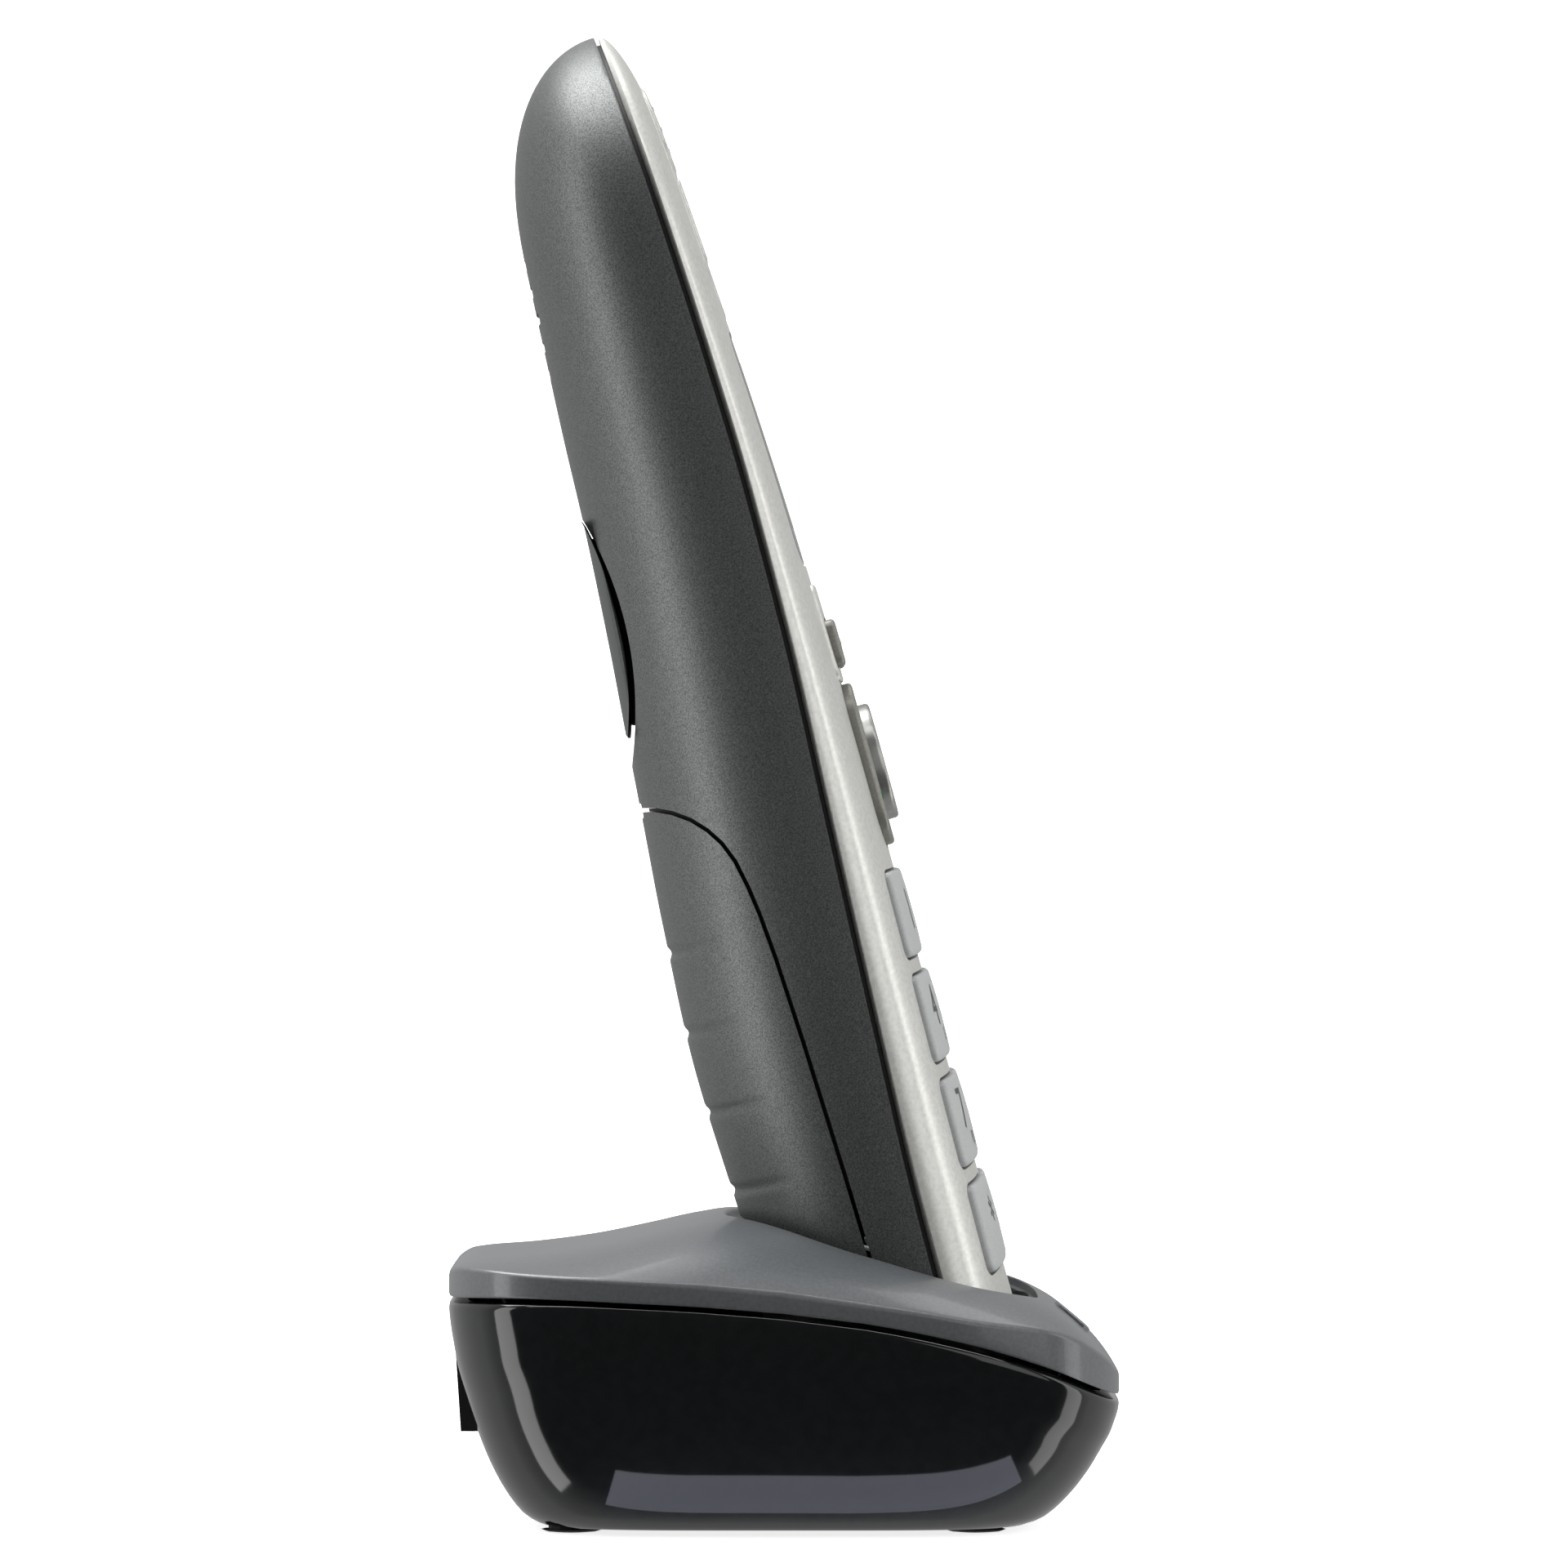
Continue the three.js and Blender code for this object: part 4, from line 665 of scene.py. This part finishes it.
def seam_rib():
    """Black rib that stands in the joint between the two shells, all the way round. It closes the joint,
    and its black is painted shade for the dark deep in the gap.
    """
    places = stations(0, LENGTH - 0.3, 2.4)
    half = [max(0.3, half_at(z) - foot_inset(z)) for z in places]
    outline = list(zip(half, places)) + [(-x, z) for x, z in reversed(list(zip(half, places)))]
    count = len(outline)
    loops = []
    for i in range(count):
        section = []
        for depth, side in ((LIP_INSET, -1), (LIP_INSET, 1), (RIB_DEPTH, 1), (RIB_DEPTH, -1)):
            x, z = beside(outline[i], outline[i - 1], outline[(i + 1) % count], depth)
            section.append((x, seam_at(z) + side * (SEAM_GAP / 2 - LIP_ROOM), z))
        loops.append(section)
    loops.append(loops[0])
    rib = rings("seam_rib", loops, caps=(False, False), smooth=30)
    # The rib's black is painted shade in the joint between the shells.
    return dress(rib, black_plastic, "handset", "black_plastic")


GROOVES, GROOVE_PITCH, GROOVE_LOWEST, GROOVE_DEPTH = 4, 8.8, 23.85, 0.35
GROOVE_HALF, GROOVE_REACH = 0.8, 0.8


def grip(z, angle):
    """Depth of the thumb grooves, which run out towards the sides."""
    across = max(0, 1 - abs(math.cos(angle)) / GROOVE_REACH) ** 0.5
    for i in range(GROOVES):
        away = abs(z - GROOVE_LOWEST - i * GROOVE_PITCH)
        if away < GROOVE_HALF:
            return GROOVE_DEPTH * across * math.cos(away / GROOVE_HALF * math.pi / 2) ** 1.5
    return 0


def battery_cover():
    cover = half_body("battery_cover_skin", 1, 0, 0, 90, relief=grip, step=0.3)
    carve(cover, "DIFFERENCE", hollow(1, 95))
    carve(cover, "INTERSECT", cover_region(0))
    carve(cover, "DIFFERENCE", finger_notch())
    return dress(cover, grey_lacquer, "battery_cover", "grey_shell", "battery_cover")


CLIP_EDGE = 0.45
CLIP_ROOT, CLIP_ROOT_GAP = 9, 0.12
LEAF_ROWS = 60


def clip_gap(z):
    """Room under the clip, closing towards its root."""
    away = min(1, max(0, (SCOOP_TOP - 0.7 - z) / CLIP_ROOT))
    return CLIP_ROOT_GAP + (CLIP_GAP - CLIP_ROOT_GAP) * away


def edge_drop(away, radius):
    """How far a rounded edge falls at a distance from the side."""
    return radius - math.sqrt(max(0, radius ** 2 - max(0, radius - away) ** 2))


def leaf(name, half_width, low, high, inner, outer, radius):
    """A plate lying along the back, its sides and foot rounded.

    inner(x, z) and outer(x, z) are its faces.
    """
    near = [radius * share for share in (0, 0.06, 0.2, 0.45, 0.75, 1)]
    loops = []
    places = [low + away for away in near]
    places += [low + radius + (high - low - radius) * i / LEAF_ROWS for i in range(1, LEAF_ROWS + 1)]
    for z in places:
        draw = edge_drop(z - low, radius)
        half = half_width - draw
        xs = [-half + away for away in near]
        xs += [(-1 + i / 12) * (half - radius) for i in range(1, 24)]
        xs += [half - away for away in reversed(near)]
        face, under = [], []
        for x in xs:
            low_y, high_y = inner(x, z), outer(x, z)
            fall = min((high_y - low_y) * 0.46, draw + edge_drop(half - abs(x), radius))
            face.append((x, high_y - fall, z))
            under.append((x, low_y + fall * 0.4, z))
        loops.append(face + under[::-1])
    return rings(name, loops, smooth=50)


def belt_clip():
    top = SCOOP_TOP - 0.5
    clip = leaf("belt_clip_leaf", CLIP_WIDTH / 2, top - 0.2 - CLIP_LENGTH, top,
                lambda x, z: drum_y(z, -clip_gap(z)),
                lambda x, z: max(skin(x, z, 1), drum_y(z, -clip_gap(z)) + 0.1), CLIP_EDGE)
    return dress(clip, clip_plastic, "belt_clip", "grey_shell", "belt_clip")


def clip_pad():
    """Black rubber pad on the floor of the scoop, which the clip presses a belt against. Its near-black is
    painted shade for the dark gap under the clip.
    """
    pad = leaf("clip_pad", CLIP_WIDTH / 2 - 2.5, SCOOP_TOP - CLIP_LENGTH + 0.5, SCOOP_TOP - 2.5,
               lambda x, z: drum_y(z, 0.4), lambda x, z: drum_y(z, -clip_gap(z) + 0.06), 0.3)
    # The pad's near-black is painted shade in the gap under the clip.
    return dress(pad, foot_rubber, "handset", "foot_rubber")


# ------------------------------------------------------------------ keys and front pieces

def cap(name, outline, top, skirt, closed=False):
    """A key cap: rings from its skirt over a rounded edge to its crowned face.

    outline(margin) gives a ring, top(x, z) its face, skirt how far its side runs down.
    """
    edge = [(0, skirt), (0, 0.45), (-0.03, 0.28), (-0.12, 0.13), (-0.27, 0.04), (-0.5, 0.0)]
    loops = []
    for margin, drop in edge:
        loops.append([(x, top(x, z) + drop, z) for x, z in outline(margin)])
    ring = outline(-0.5)
    cx = sum(x for x, _ in ring) / len(ring)
    cz = sum(z for _, z in ring) / len(ring)
    for share in (0.9, 0.75, 0.55, 0.35, 0.15):
        loop = [(cx + (x - cx) * share, cz + (z - cz) * share) for x, z in ring]
        loops.append([(x, top(x, z), z) for x, z in loop])
    return rings(name, loops, caps=(closed, True), smooth=60)


def legend(name, words, x, z, size, top, finish, body, slot="key_grey"):
    """Printed characters laid on a key's face."""
    text = bpy.data.curves.new(name, "FONT")
    text.body = words
    text.size = size
    text.align_x = "CENTER"
    text.align_y = "CENTER"
    text.resolution_u = 4
    flat = bpy.data.objects.new(name, text)
    bpy.context.collection.objects.link(flat)
    shape = flat.evaluated_get(bpy.context.evaluated_depsgraph_get())
    mesh = bpy.data.meshes.new_from_object(shape)
    bpy.data.objects.remove(flat)
    form = bmesh.new()
    form.from_mesh(mesh)
    bmesh.ops.triangulate(form, faces=form.faces)
    bmesh.ops.subdivide_edges(form, edges=[e for e in form.edges if e.calc_length() > 1.2], cuts=2)
    bmesh.ops.triangulate(form, faces=form.faces)
    points = []
    for vertex in form.verts:
        u, v = x + vertex.co.x, z + vertex.co.y
        points.append((u, top(u, v) - 0.03, v))
    faces = [[vertex.index for vertex in face.verts] for face in form.faces]
    form.free()
    printed = piece(name, points, faces)
    return dress(printed, finish, body, slot)


KEY_CROWN, KEY_SKIRT = 0.12, 2.6


def digit_key(name, column, row, digit, letters):
    """A number key with its print: the digit in the middle, or to the left of its letters."""
    middle_x, middle_z = column * COLUMN_PITCH, BOTTOM_ROW + row * ROW_PITCH

    def top(x, z):
        across, along = (x - middle_x) / KEY_WIDTH * 2, (z - middle_z) / KEY_LENGTH * 2
        return skin(x, z, -1, -KEY_PROUD) + KEY_CROWN * min(1, across ** 2 + along ** 2)

    key = cap(f"{name}_cap", lambda margin: key_outline(column, row, margin), top, KEY_SKIRT)
    dress(key, key_plastic, name, "key_grey", name)
    x, z = middle_x, droop(middle_x, middle_z)
    shift = 1.4 if letters else 0
    legend(f"{name}_digit", digit, x - shift, z + (0.8 if letters else 0), 6.4, top, key_ink, name)
    if letters:
        legend(f"{name}_letters", letters, x + 3, z - 2.4, 2, top, key_ink, name)


def soft_key(side, word):
    """A key under the display, with a short bar on it."""
    name = f"soft_key_{word}"
    key = cap(f"{name}_cap", lambda margin: soft_outline(side, margin),
              lambda x, z: SOFT_FACE + 0.02 * abs(abs(x) - SOFT_MIDDLE), SOFT_PLATE)
    dress(key, cluster_lacquer, name, "key_grey", name)
    bar = rounded(side * SOFT_MIDDLE, (SOFT_BOTTOM + SOFT_TOP) / 2, 3.2, 0.7, 0.3)
    mark = prism(bar, SOFT_FACE - 0.03, SOFT_FACE + 0.2)
    mark.name = f"{name}_mark"
    dress(mark, white_ink, name, "key_grey")


def call_key(side, word, ink):
    """A plate beside the ring, cut round it, with a short bar in its colour."""
    name = f"call_key_{word}"
    key = cap(f"{name}_cap", lambda margin: call_outline(side, margin),
              lambda x, z: CALL_FACE + 0.0025 * (abs(x) - 7) ** 2, CALL_PLATE, True)
    carve(key, "DIFFERENCE", prism(circle(0, NAV_Z, RING_HOLE, TURNED_SIDES), -FAR, 0))
    dress(key, cluster_lacquer, name, "key_grey", name)
    mark = prism(rounded(side * 11, NAV_Z - 3.6, 3.4, 1, 0.45), CALL_FACE - 0.01, CALL_FACE + 0.3)
    mark.name = f"{name}_mark"
    dress(mark, ink, name, "key_grey")


def navigation():
    """The ring and the key inside it, both turned."""
    rim, bore = RING_SIZE / 2, RING_BORE / 2
    ring = turned("nav_ring_rim", [
        (bore, RING_FACE + 3.5), (bore, RING_FACE + 0.9), (bore + 0.12, RING_FACE + 0.62),
        (bore + 0.75, RING_FACE + 0.28), (bore + 1.2, RING_FACE + 0.06), (bore + 1.5, RING_FACE),
        (rim - 0.45, RING_FACE), (rim - 0.2, RING_FACE + 0.06), (rim - 0.06, RING_FACE + 0.2),
        (rim, RING_FACE + 0.45), (rim, RING_FACE + 3.5)], 0, NAV_Z)
    dress(ring, chrome, "nav_ring", "chrome_ring", "nav_ring")
    reach = (RING_BORE - 1) / 2
    ok = turned("ok_key_cap", [
        (0, RING_FACE + 0.35), (reach - 1.4, RING_FACE + 0.38), (reach - 0.5, RING_FACE + 0.42),
        (reach - 0.2, RING_FACE + 0.48), (reach - 0.05, RING_FACE + 0.62), (reach, RING_FACE + 0.85),
        (reach, RING_FACE + 4)], 0, NAV_Z)
    dress(ok, key_plastic, "ok_key", "key_grey", "ok_key")


def patch(name, outline, inset, thick, rounding=0.2):
    """A plate following the front skin, proud of it if inset is negative."""
    edge = [(0, thick), (0, rounding), (-rounding * 0.3, rounding * 0.3), (-rounding, 0)]
    loops = [[(x, skin(x, z, -1, inset) + drop, z) for x, z in outline(margin)] for margin, drop in edge]
    ring = outline(-rounding)
    cx = sum(x for x, _ in ring) / len(ring)
    cz = sum(z for _, z in ring) / len(ring)
    for share in [1 - 0.07 * i for i in range(1, 14)]:
        loop = [(cx + (x - cx) * share, cz + (z - cz) * share) for x, z in ring]
        loops.append([(x, skin(x, z, -1, inset), z) for x, z in loop])
    return rings(name, loops, caps=(True, True), smooth=50)


def front_pieces():
    """Window, display, earpiece trim with its pads and slots, and the deck round the soft keys."""
    lens = patch("display_window", lens_outline, 0.1, 1.2)
    dress(lens, window, "handset", "lens", "display_lens")

    def screen(margin):
        return rounded(0, (LENS_LOW + LENS_HIGH) / 2 + 0.5, LENS_WIDTH - 7 + 2 * margin,
                       LENS_HIGH - LENS_LOW - 7 + 2 * margin, 0.8 + margin, 4, 12)

    face = patch("display_face", screen, 0.08, 0.2, 0.02)
    dress(face, panel, "handset", "display")
    trim = patch("earpiece_trim_plate", trim_outline, -TRIM_PROUD, 1.2, 0.1)
    carve(trim, "DIFFERENCE", merged(sound_slots(-FAR, seam_at(TRIM_HIGH))))
    dress(trim, silver_lacquer, "handset", "silver_shell", "earpiece_trim")
    for name, high, low, width, corner in TRIM_PADS:
        def pad_outline(margin, high=high, low=low, width=width, corner=corner):
            return rounded(0, (low + high) / 2, width + 2 * margin, high - low + 2 * margin,
                           corner + margin, 8, 8)

        pad = patch(name, pad_outline, -TRIM_PROUD - PAD_PROUD, 0.6, 0.12)
        if name == "earpiece_pad":
            carve(pad, "DIFFERENCE", merged(sound_slots(-FAR, seam_at(TRIM_HIGH))))
        dress(pad, silver_lacquer, "handset", "silver_shell")
    for row in (-1, 0, 1):
        z = SOUND_Z + row * SOUND_PITCH
        back = prism(rounded(0, z, 10 - abs(row) * 2, 0.9, 0.44),
                     skin(0, z, -1, -TRIM_PROUD - PAD_PROUD) - 0.03, skin(0, SOUND_Z, -1) + 0.6)
        back.name = f"sound_mesh_{row + 2}"
        dress(back, black_plastic, "handset", "black_plastic")

    def deck_outline(margin):
        return rounded(0, (DECK_BOTTOM + DECK_TOP) / 2, 2 * DECK_HALF + 2 * margin,
                       DECK_TOP - DECK_BOTTOM + 2 * margin, 1.4 + margin, 5, 10)

    deck = patch("soft_key_deck", deck_outline, -DECK_PROUD, 1.0, 0.3)
    carve(deck, "DIFFERENCE", soft_wells())
    dress(deck, silver_lacquer, "handset", "silver_shell")


# ------------------------------------------------------------------ base

BASE_WIDTH, BASE_DEPTH, BASE_BULGE, DOME_BULGE = 70, 72, 4.5, 5.5
# Heights in side view: [share of the way from rear to front, z]. The sides: [share down, inset].
PARTING_GAP = 0.6
FOOT_HEIGHT = 0.6
HOUSING_SIDE = [(-0.4, 0), (0, 0), (0.25, 0.75), (0.45, 2), (0.62, 3.3), (0.8, 5.2), (0.95, 7.7), (1, 9.4)]
PARTING_LINE = [(0, 24.4), (0.06, 24.8), (0.12, 24.9), (0.3, 24.45), (0.43, 23.9), (0.6, 22.6),
                (0.77, 20.2), (0.885, 17.6), (0.96, 15.2), (1, 13.8)]
RIM_LINE = [(0, 26.6), (0.08, 27.4), (0.21, 27.4), (0.43, 26.7), (0.56, 25.5), (0.7, 24), (0.8, 22.4),
            (0.87, 21.2), (0.93, 19.5), (0.97, 17.9), (1, 16.5)]
CREST_LINE = [(0, 27.3), (0.006, 28), (0.03, 28.8), (0.12, 29.4), (0.21, 30.3), (0.29, 31.5),
              (0.37, 32.8), (0.42, 33.3), (0.62, 30.6), (0.72, 28.5), (0.83, 26.1), (0.9, 23.8),
              (0.97, 19.4), (1, 16.7)]
parting_curve, rim_curve = through(PARTING_LINE), through(RIM_LINE)
crest_curve, side_inset = through(CREST_LINE), through(HOUSING_SIDE)
AROUND, DOME_ROWS, HOUSING_ROWS = 160, 24, 40


def share_at(y):
    """Share of the way from the base's rear edge to its front edge."""
    return 0.5 - y / BASE_DEPTH


def base_ring(inset):
    """The base's rounded-square outline, moved inwards."""
    ring = []
    for i in range(AROUND):
        angle = 2 * math.pi * i / AROUND
        ring.append(((BASE_WIDTH / 2 - inset) * power(math.cos(angle), 2 / BASE_BULGE),
                     (BASE_DEPTH / 2 - inset) * power(math.sin(angle), 2 / BASE_BULGE)))
    return ring


def dome(x, y):
    """Height of the cover's top."""
    share = share_at(y)
    low = rim_curve(share)
    return low + (crest_curve(share) - low) * (1 - min(1, abs(x) / (BASE_WIDTH / 2)) ** DOME_BULGE)


# The slot takes the handset's section at this height, with room round it.
SLOT_GRIP = 22
SLOT_CLEARANCE, SLOT_FRONT_ROOM, SLOT_FLOOR_GAP, SLOT_FLARE = 0.45, 1.7, 0.5, 0.8


def slot_ring(grow):
    """The handset slot's section as (x, y) in the handset's frame."""
    half = half_at(SLOT_GRIP) + SLOT_CLEARANCE + grow
    seam = seam_at(SLOT_GRIP)
    front = depth_at(SLOT_GRIP, -1) + SLOT_FRONT_ROOM + grow
    back = depth_at(SLOT_GRIP, 1) + SLOT_CLEARANCE + grow
    ring = []
    for i in range(AROUND):
        angle = 2 * math.pi * i / AROUND
        c, s = math.cos(angle), math.sin(angle)
        bulge = FRONT_BULGE if s < 0 else BACK_BULGE
        ring.append((half * power(c, 2 / bulge), seam + (front if s < 0 else back) * power(s, 2 / bulge)))
    return ring


def to_world(x, y, z):
    """A point of the handset's frame in the base's."""
    return (x, STAND_Y + y * math.cos(LEAN) + z * math.sin(LEAN),
            STAND_Z - y * math.sin(LEAN) + z * math.cos(LEAN))


def on_dome(x, y):
    """Where the line along the handset through (x, y) comes out of the dome, in the base's frame."""
    low, high = 0.0, 50.0
    for _ in range(30):
        middle = (low + high) / 2
        wx, wy, wz = to_world(x, y, middle)
        if wz > dome(wx, wy):
            high = middle
        else:
            low = middle
    return low


def top_cover():
    """The cover with its rim, its dome and the handset's slot, as one skin."""
    loops = []
    # under edge, side band and rounded rim
    for inset, lift in [(2.0, 0), (0.3, 0), (0.08, 0.08), (0, 0.3)]:
        loops.append([(x, y, parting_curve(share_at(y)) + PARTING_GAP + lift) for x, y in base_ring(inset)])
    for inset, drop in [(0, 0.42), (0.04, 0.26), (0.12, 0.12), (0.24, 0.03), (0.38, 0.0), (0.7, 0.0)]:
        loops.append([(x, y, dome(x, y) - drop) for x, y in base_ring(inset)])
    # the dome, from the rim to the slot
    outer = base_ring(0.7)
    lip = []
    for x, y in slot_ring(SLOT_FLARE + 0.6):
        wx, wy, _ = to_world(x, y, on_dome(x, y))
        lip.append((wx, wy))
    for i in range(1, DOME_ROWS + 1):
        share = i / DOME_ROWS
        row = []
        for (ox, oy), (ix, iy) in zip(outer, lip):
            x, y = ox + (ix - ox) * share, oy + (iy - oy) * share
            row.append((x, y, dome(x, y)))
        loops.append(row)
    # rounded mouth of the slot, then its walls and floor
    for grow, sink in [(SLOT_FLARE + 0.3, 0.03), (SLOT_FLARE + 0.12, 0.14), (SLOT_FLARE, 0.4),
                       (SLOT_FLARE - 0.05, 1.1), (0.1, 1.5), (0, 2.0)]:
        loops.append([to_world(x, y, on_dome(x, y) - sink) for x, y in slot_ring(grow)])
    for z in (4, 0.6, -SLOT_FLOOR_GAP + 0.2):
        loops.append([to_world(x, y, z) for x, y in slot_ring(0)])
    loops.append([to_world(x, y, -SLOT_FLOOR_GAP) for x, y in slot_ring(-0.8)])
    cover = rings("top_cover_skin", loops, LEVEL, caps=(False, True), smooth=55)
    steady(cover)
    return dress(cover, cover_plastic, "base", "cover_grey", "top_cover")


# Openings of the housing's rear: front, bottom, top and half the width.
LEAD_CHANNEL = (25, -5, 10, 6)
SOCKET_PLACE = (10, 9.7, 20.9, 7.8)
HOUSING_WALL = 2


def lower_housing():
    """The bowl under the cover, open below the hood for the lead."""
    def ring(share, inset):
        row = []
        for x, y in base_ring(side_inset(share) + inset):
            joint = parting_curve(share_at(y))
            row.append((x, y, joint - share * (joint - FOOT_HEIGHT)))
        return row

    loops = [ring(share, HOUSING_WALL) for share in (0.9, 0.5, 0.0)]
    loops += [ring(0.0, 0.3), ring(0.012, 0.08), ring(0.03, 0)]
    loops += [ring(0.03 + 0.97 * i / HOUSING_ROWS, 0) for i in range(1, HOUSING_ROWS)]
    loops += [[(x, y, FOOT_HEIGHT + lift) for x, y in base_ring(side_inset(1) + inset)]
              for inset, lift in ((-0.25, 0.22), (0.2, 0.04), (0.8, 0), (8, 0), (20, 0))]
    housing = rings("lower_housing_skin", loops, LEVEL, caps=(True, True), smooth=45)
    for front, low, high, half in (LEAD_CHANNEL, SOCKET_PLACE):
        room = prism([(front, low), (FAR, low), (FAR, high), (front, high)], -half, half, "X", LEVEL)
        carve(housing, "DIFFERENCE", room)
    steady(housing)
    return dress(housing, gloss_plastic, "base", "base_dark", "lower_housing")


# ------------------------------------------------------------------ assembly

front_shell()
back_shell()
cover_lip()
seam_rib()
battery_cover()
belt_clip()
clip_pad()
front_pieces()
for key in DIGITS:
    digit_key(*key)
for side, word, ink in ((-1, "left", green_ink), (1, "right", red_ink)):
    soft_key(side, word)
    call_key(side, word, ink)
navigation()
top_cover()
lower_housing()

CARRIED = {
    "display_panel": panel, "earpiece_receiver": black_plastic, "handsfree_speaker": black_plastic,
    "microphone": plated_steel, "antenna": plated_steel, "main_board": board_mask, "base_board": board_mask,
    "keypad_mat": mat_silicone, "battery_cell_left": cell_wrap, "battery_cell_right": cell_wrap,
    "battery_contact_lower": plated_steel, "battery_contact_upper": plated_steel,
    "charge_pad_left": gold_plate, "charge_pad_right": gold_plate, "charge_pin_left": gold_plate,
    "charge_pin_right": gold_plate, "socket_contact": gold_plate, "chassis_screw_left": plated_steel,
    "chassis_screw_right": plated_steel, "nav_plate": black_plastic, "battery_tray": black_plastic,
    "contact_block": black_plastic, "lead_socket": black_plastic, "page_key": cover_plastic,
}
for i in range(1, 5):
    CARRIED[f"rubber_foot_{i}"] = foot_rubber
    CARRIED[f"base_screw_{i}"] = plated_steel
for name, finish in CARRIED.items():
    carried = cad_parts[name]
    carried.data.materials.clear()
    carried.data.materials.append(finish)
for name, width in (("lead_socket", 0.5), ("page_key", 0.4)):
    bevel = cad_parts[name].modifiers.new("rounded", "BEVEL")
    bevel.width = width * MM
    bevel.segments = 3
    bevel.limit_method = "ANGLE"

# ------------------------------------------------------------------ studio

# Seamless translucent white paper, lit a little from beneath: matt, with a barely visible fibre.
paper = grain("seamless_white_paper", "#f4f4f4", "#fafafa", 3, 0.01, Roughness=0.9,
              Emission_Color=srgb("#ffffff"), Emission_Strength=0.8)
# Lamp sheets right under the paper, a little cool, that only show in gloss.
bright_paper = grain("lit_white_paper", "#f4f4f4", "#fafafa", 3, 0.01, Roughness=0.9,
                     Emission_Color=srgb("#e2e5ff"), Emission_Strength=1.7)


def staging(name, points, faces, finish, in_reflections):
    """A sheet of the studio that shows either to the camera or in the object's reflections."""
    sheet = piece(name, points, faces, LEVEL, 89)
    sheet.data.materials.append(finish)
    sheet.visible_camera = not in_reflections
    sheet.visible_glossy = sheet.visible_diffuse = in_reflections
    sheet.visible_shadow = False


def studio():
    """A pale floor that sweeps up into a backdrop far behind, over two narrow lamp sheets."""
    far, near, front, rear, below = 35.6, 28.5, 29, 20, -0.2
    corners = [(far, -front), (far, rear), (near, rear), (near, -front)]
    sheets = [(side * x, y, below) for side in (-1, 1) for x, y in corners]
    staging("studio_lamp_sheets", sheets, [(0, 1, 2, 3), (4, 5, 6, 7)], bright_paper, True)
    wide, start, bend, curl, top = 2500, -1900, 1200, 900, 3500
    points = [(start, -wide, 0), (start, wide, 0), (bend, -wide, 0), (bend, wide, 0)]
    faces = [(0, 2, 3, 1)]
    edge = [2, 3]
    sweep = [i / 20 * math.pi / 2 for i in range(1, 21)]
    line = [(bend + curl * math.sin(turn), curl - curl * math.cos(turn)) for turn in sweep]
    for x, z in line + [(bend + curl, top)]:
        points += [(x, -wide, z), (x, wide, z)]
        faces.append((edge[0], len(points) - 2, len(points) - 1, edge[1]))
        edge = [len(points) - 2, len(points) - 1]
    staging("studio_sweep", points, faces, paper, False)


studio()


def softbox(name, place, aim, width, height, power_watts):
    """A rectangular lamp, in metres."""
    light = bpy.data.lights.new(name, "AREA")
    light.shape = "RECTANGLE"
    light.size = width
    light.size_y = height
    light.energy = power_watts
    lamp = bpy.data.objects.new(name, light)
    lamp.location = place
    lamp.rotation_euler = (Vector(aim) - Vector(place)).to_track_quat("-Z", "Y").to_euler()
    bpy.context.collection.objects.link(lamp)


# Each lamp's place, the point that it faces, width and height in metres, and watts.
softbox("front_box", (-0.8, -0.62, 0.35), (0, -0.01, 0.08), 0.8, 0.9, 3.4)
softbox("front_strip", (-0.12, -1.0, -0.1), (0, 0.0, 0.08), 0.34, 2.0, 5.5)
softbox("rear_box", (-0.26, 1.0, -0.15), (0, 0.0, 0.08), 0.34, 2.1, 8.5)
softbox("high_box", (0.2, 0.5, 1.1), (0, 0, 0.1), 0.8, 0.8, 16)
softbox("rim_strip", (-0.35, 0, 1.0), (0, 0, 0.03), 1.6, 0.1, 4.0)
softbox("backdrop_box", (1.0, 0, 1.8), (1.6, 0, 0.2), 2.0, 1.2, 14)

# Brightness of the hall against the share of the way from the lamps to the backdrop.
HALL_LIGHT = [(0.32, 0.08), (0.5, 0.55), (0.66, 0.8), (0.96, 0.4)]


def hall():
    """The hall round the table: dark on the side of the lamps, palest beside the backdrop."""
    world = bpy.data.worlds.new("studio")
    world.use_nodes = True
    tree = world.node_tree
    place = node(tree, "ShaderNodeTexCoord")
    along = node(tree, "ShaderNodeSeparateXYZ", None, Vector=place.outputs["Generated"])
    share = node(tree, "ShaderNodeMapRange", None, Value=along.outputs["X"], i1=-1.0, i2=1.0)
    light = node(tree, "ShaderNodeValToRGB", None, Fac=share.outputs["Result"])
    stops = light.color_ramp.elements
    for _ in range(len(HALL_LIGHT) - 2):
        stops.new(0.5)
    for stop, (at, level) in zip(stops, HALL_LIGHT):
        stop.position = at
        stop.color = (level, level, level, 1)
    tree.links.new(light.outputs["Color"], tree.nodes["Background"].inputs["Color"])
    bpy.context.scene.world = world


hall()

# A long lens square to the phone's left side, at half its height, in metres.
CAMERA_AWAY, CAMERA_HEIGHT = 1.1, 0.0797
camera = bpy.data.cameras.new("camera")
camera.lens = 233
camera.sensor_width = 36
camera.clip_end = 20
eye = bpy.data.objects.new("camera", camera)
eye.location = (-CAMERA_AWAY, 0, CAMERA_HEIGHT)
eye.rotation_euler = (math.radians(90), 0, math.radians(-90))
bpy.context.collection.objects.link(eye)
bpy.context.scene.camera = eye
bpy.context.scene.view_settings.view_transform = "Standard"
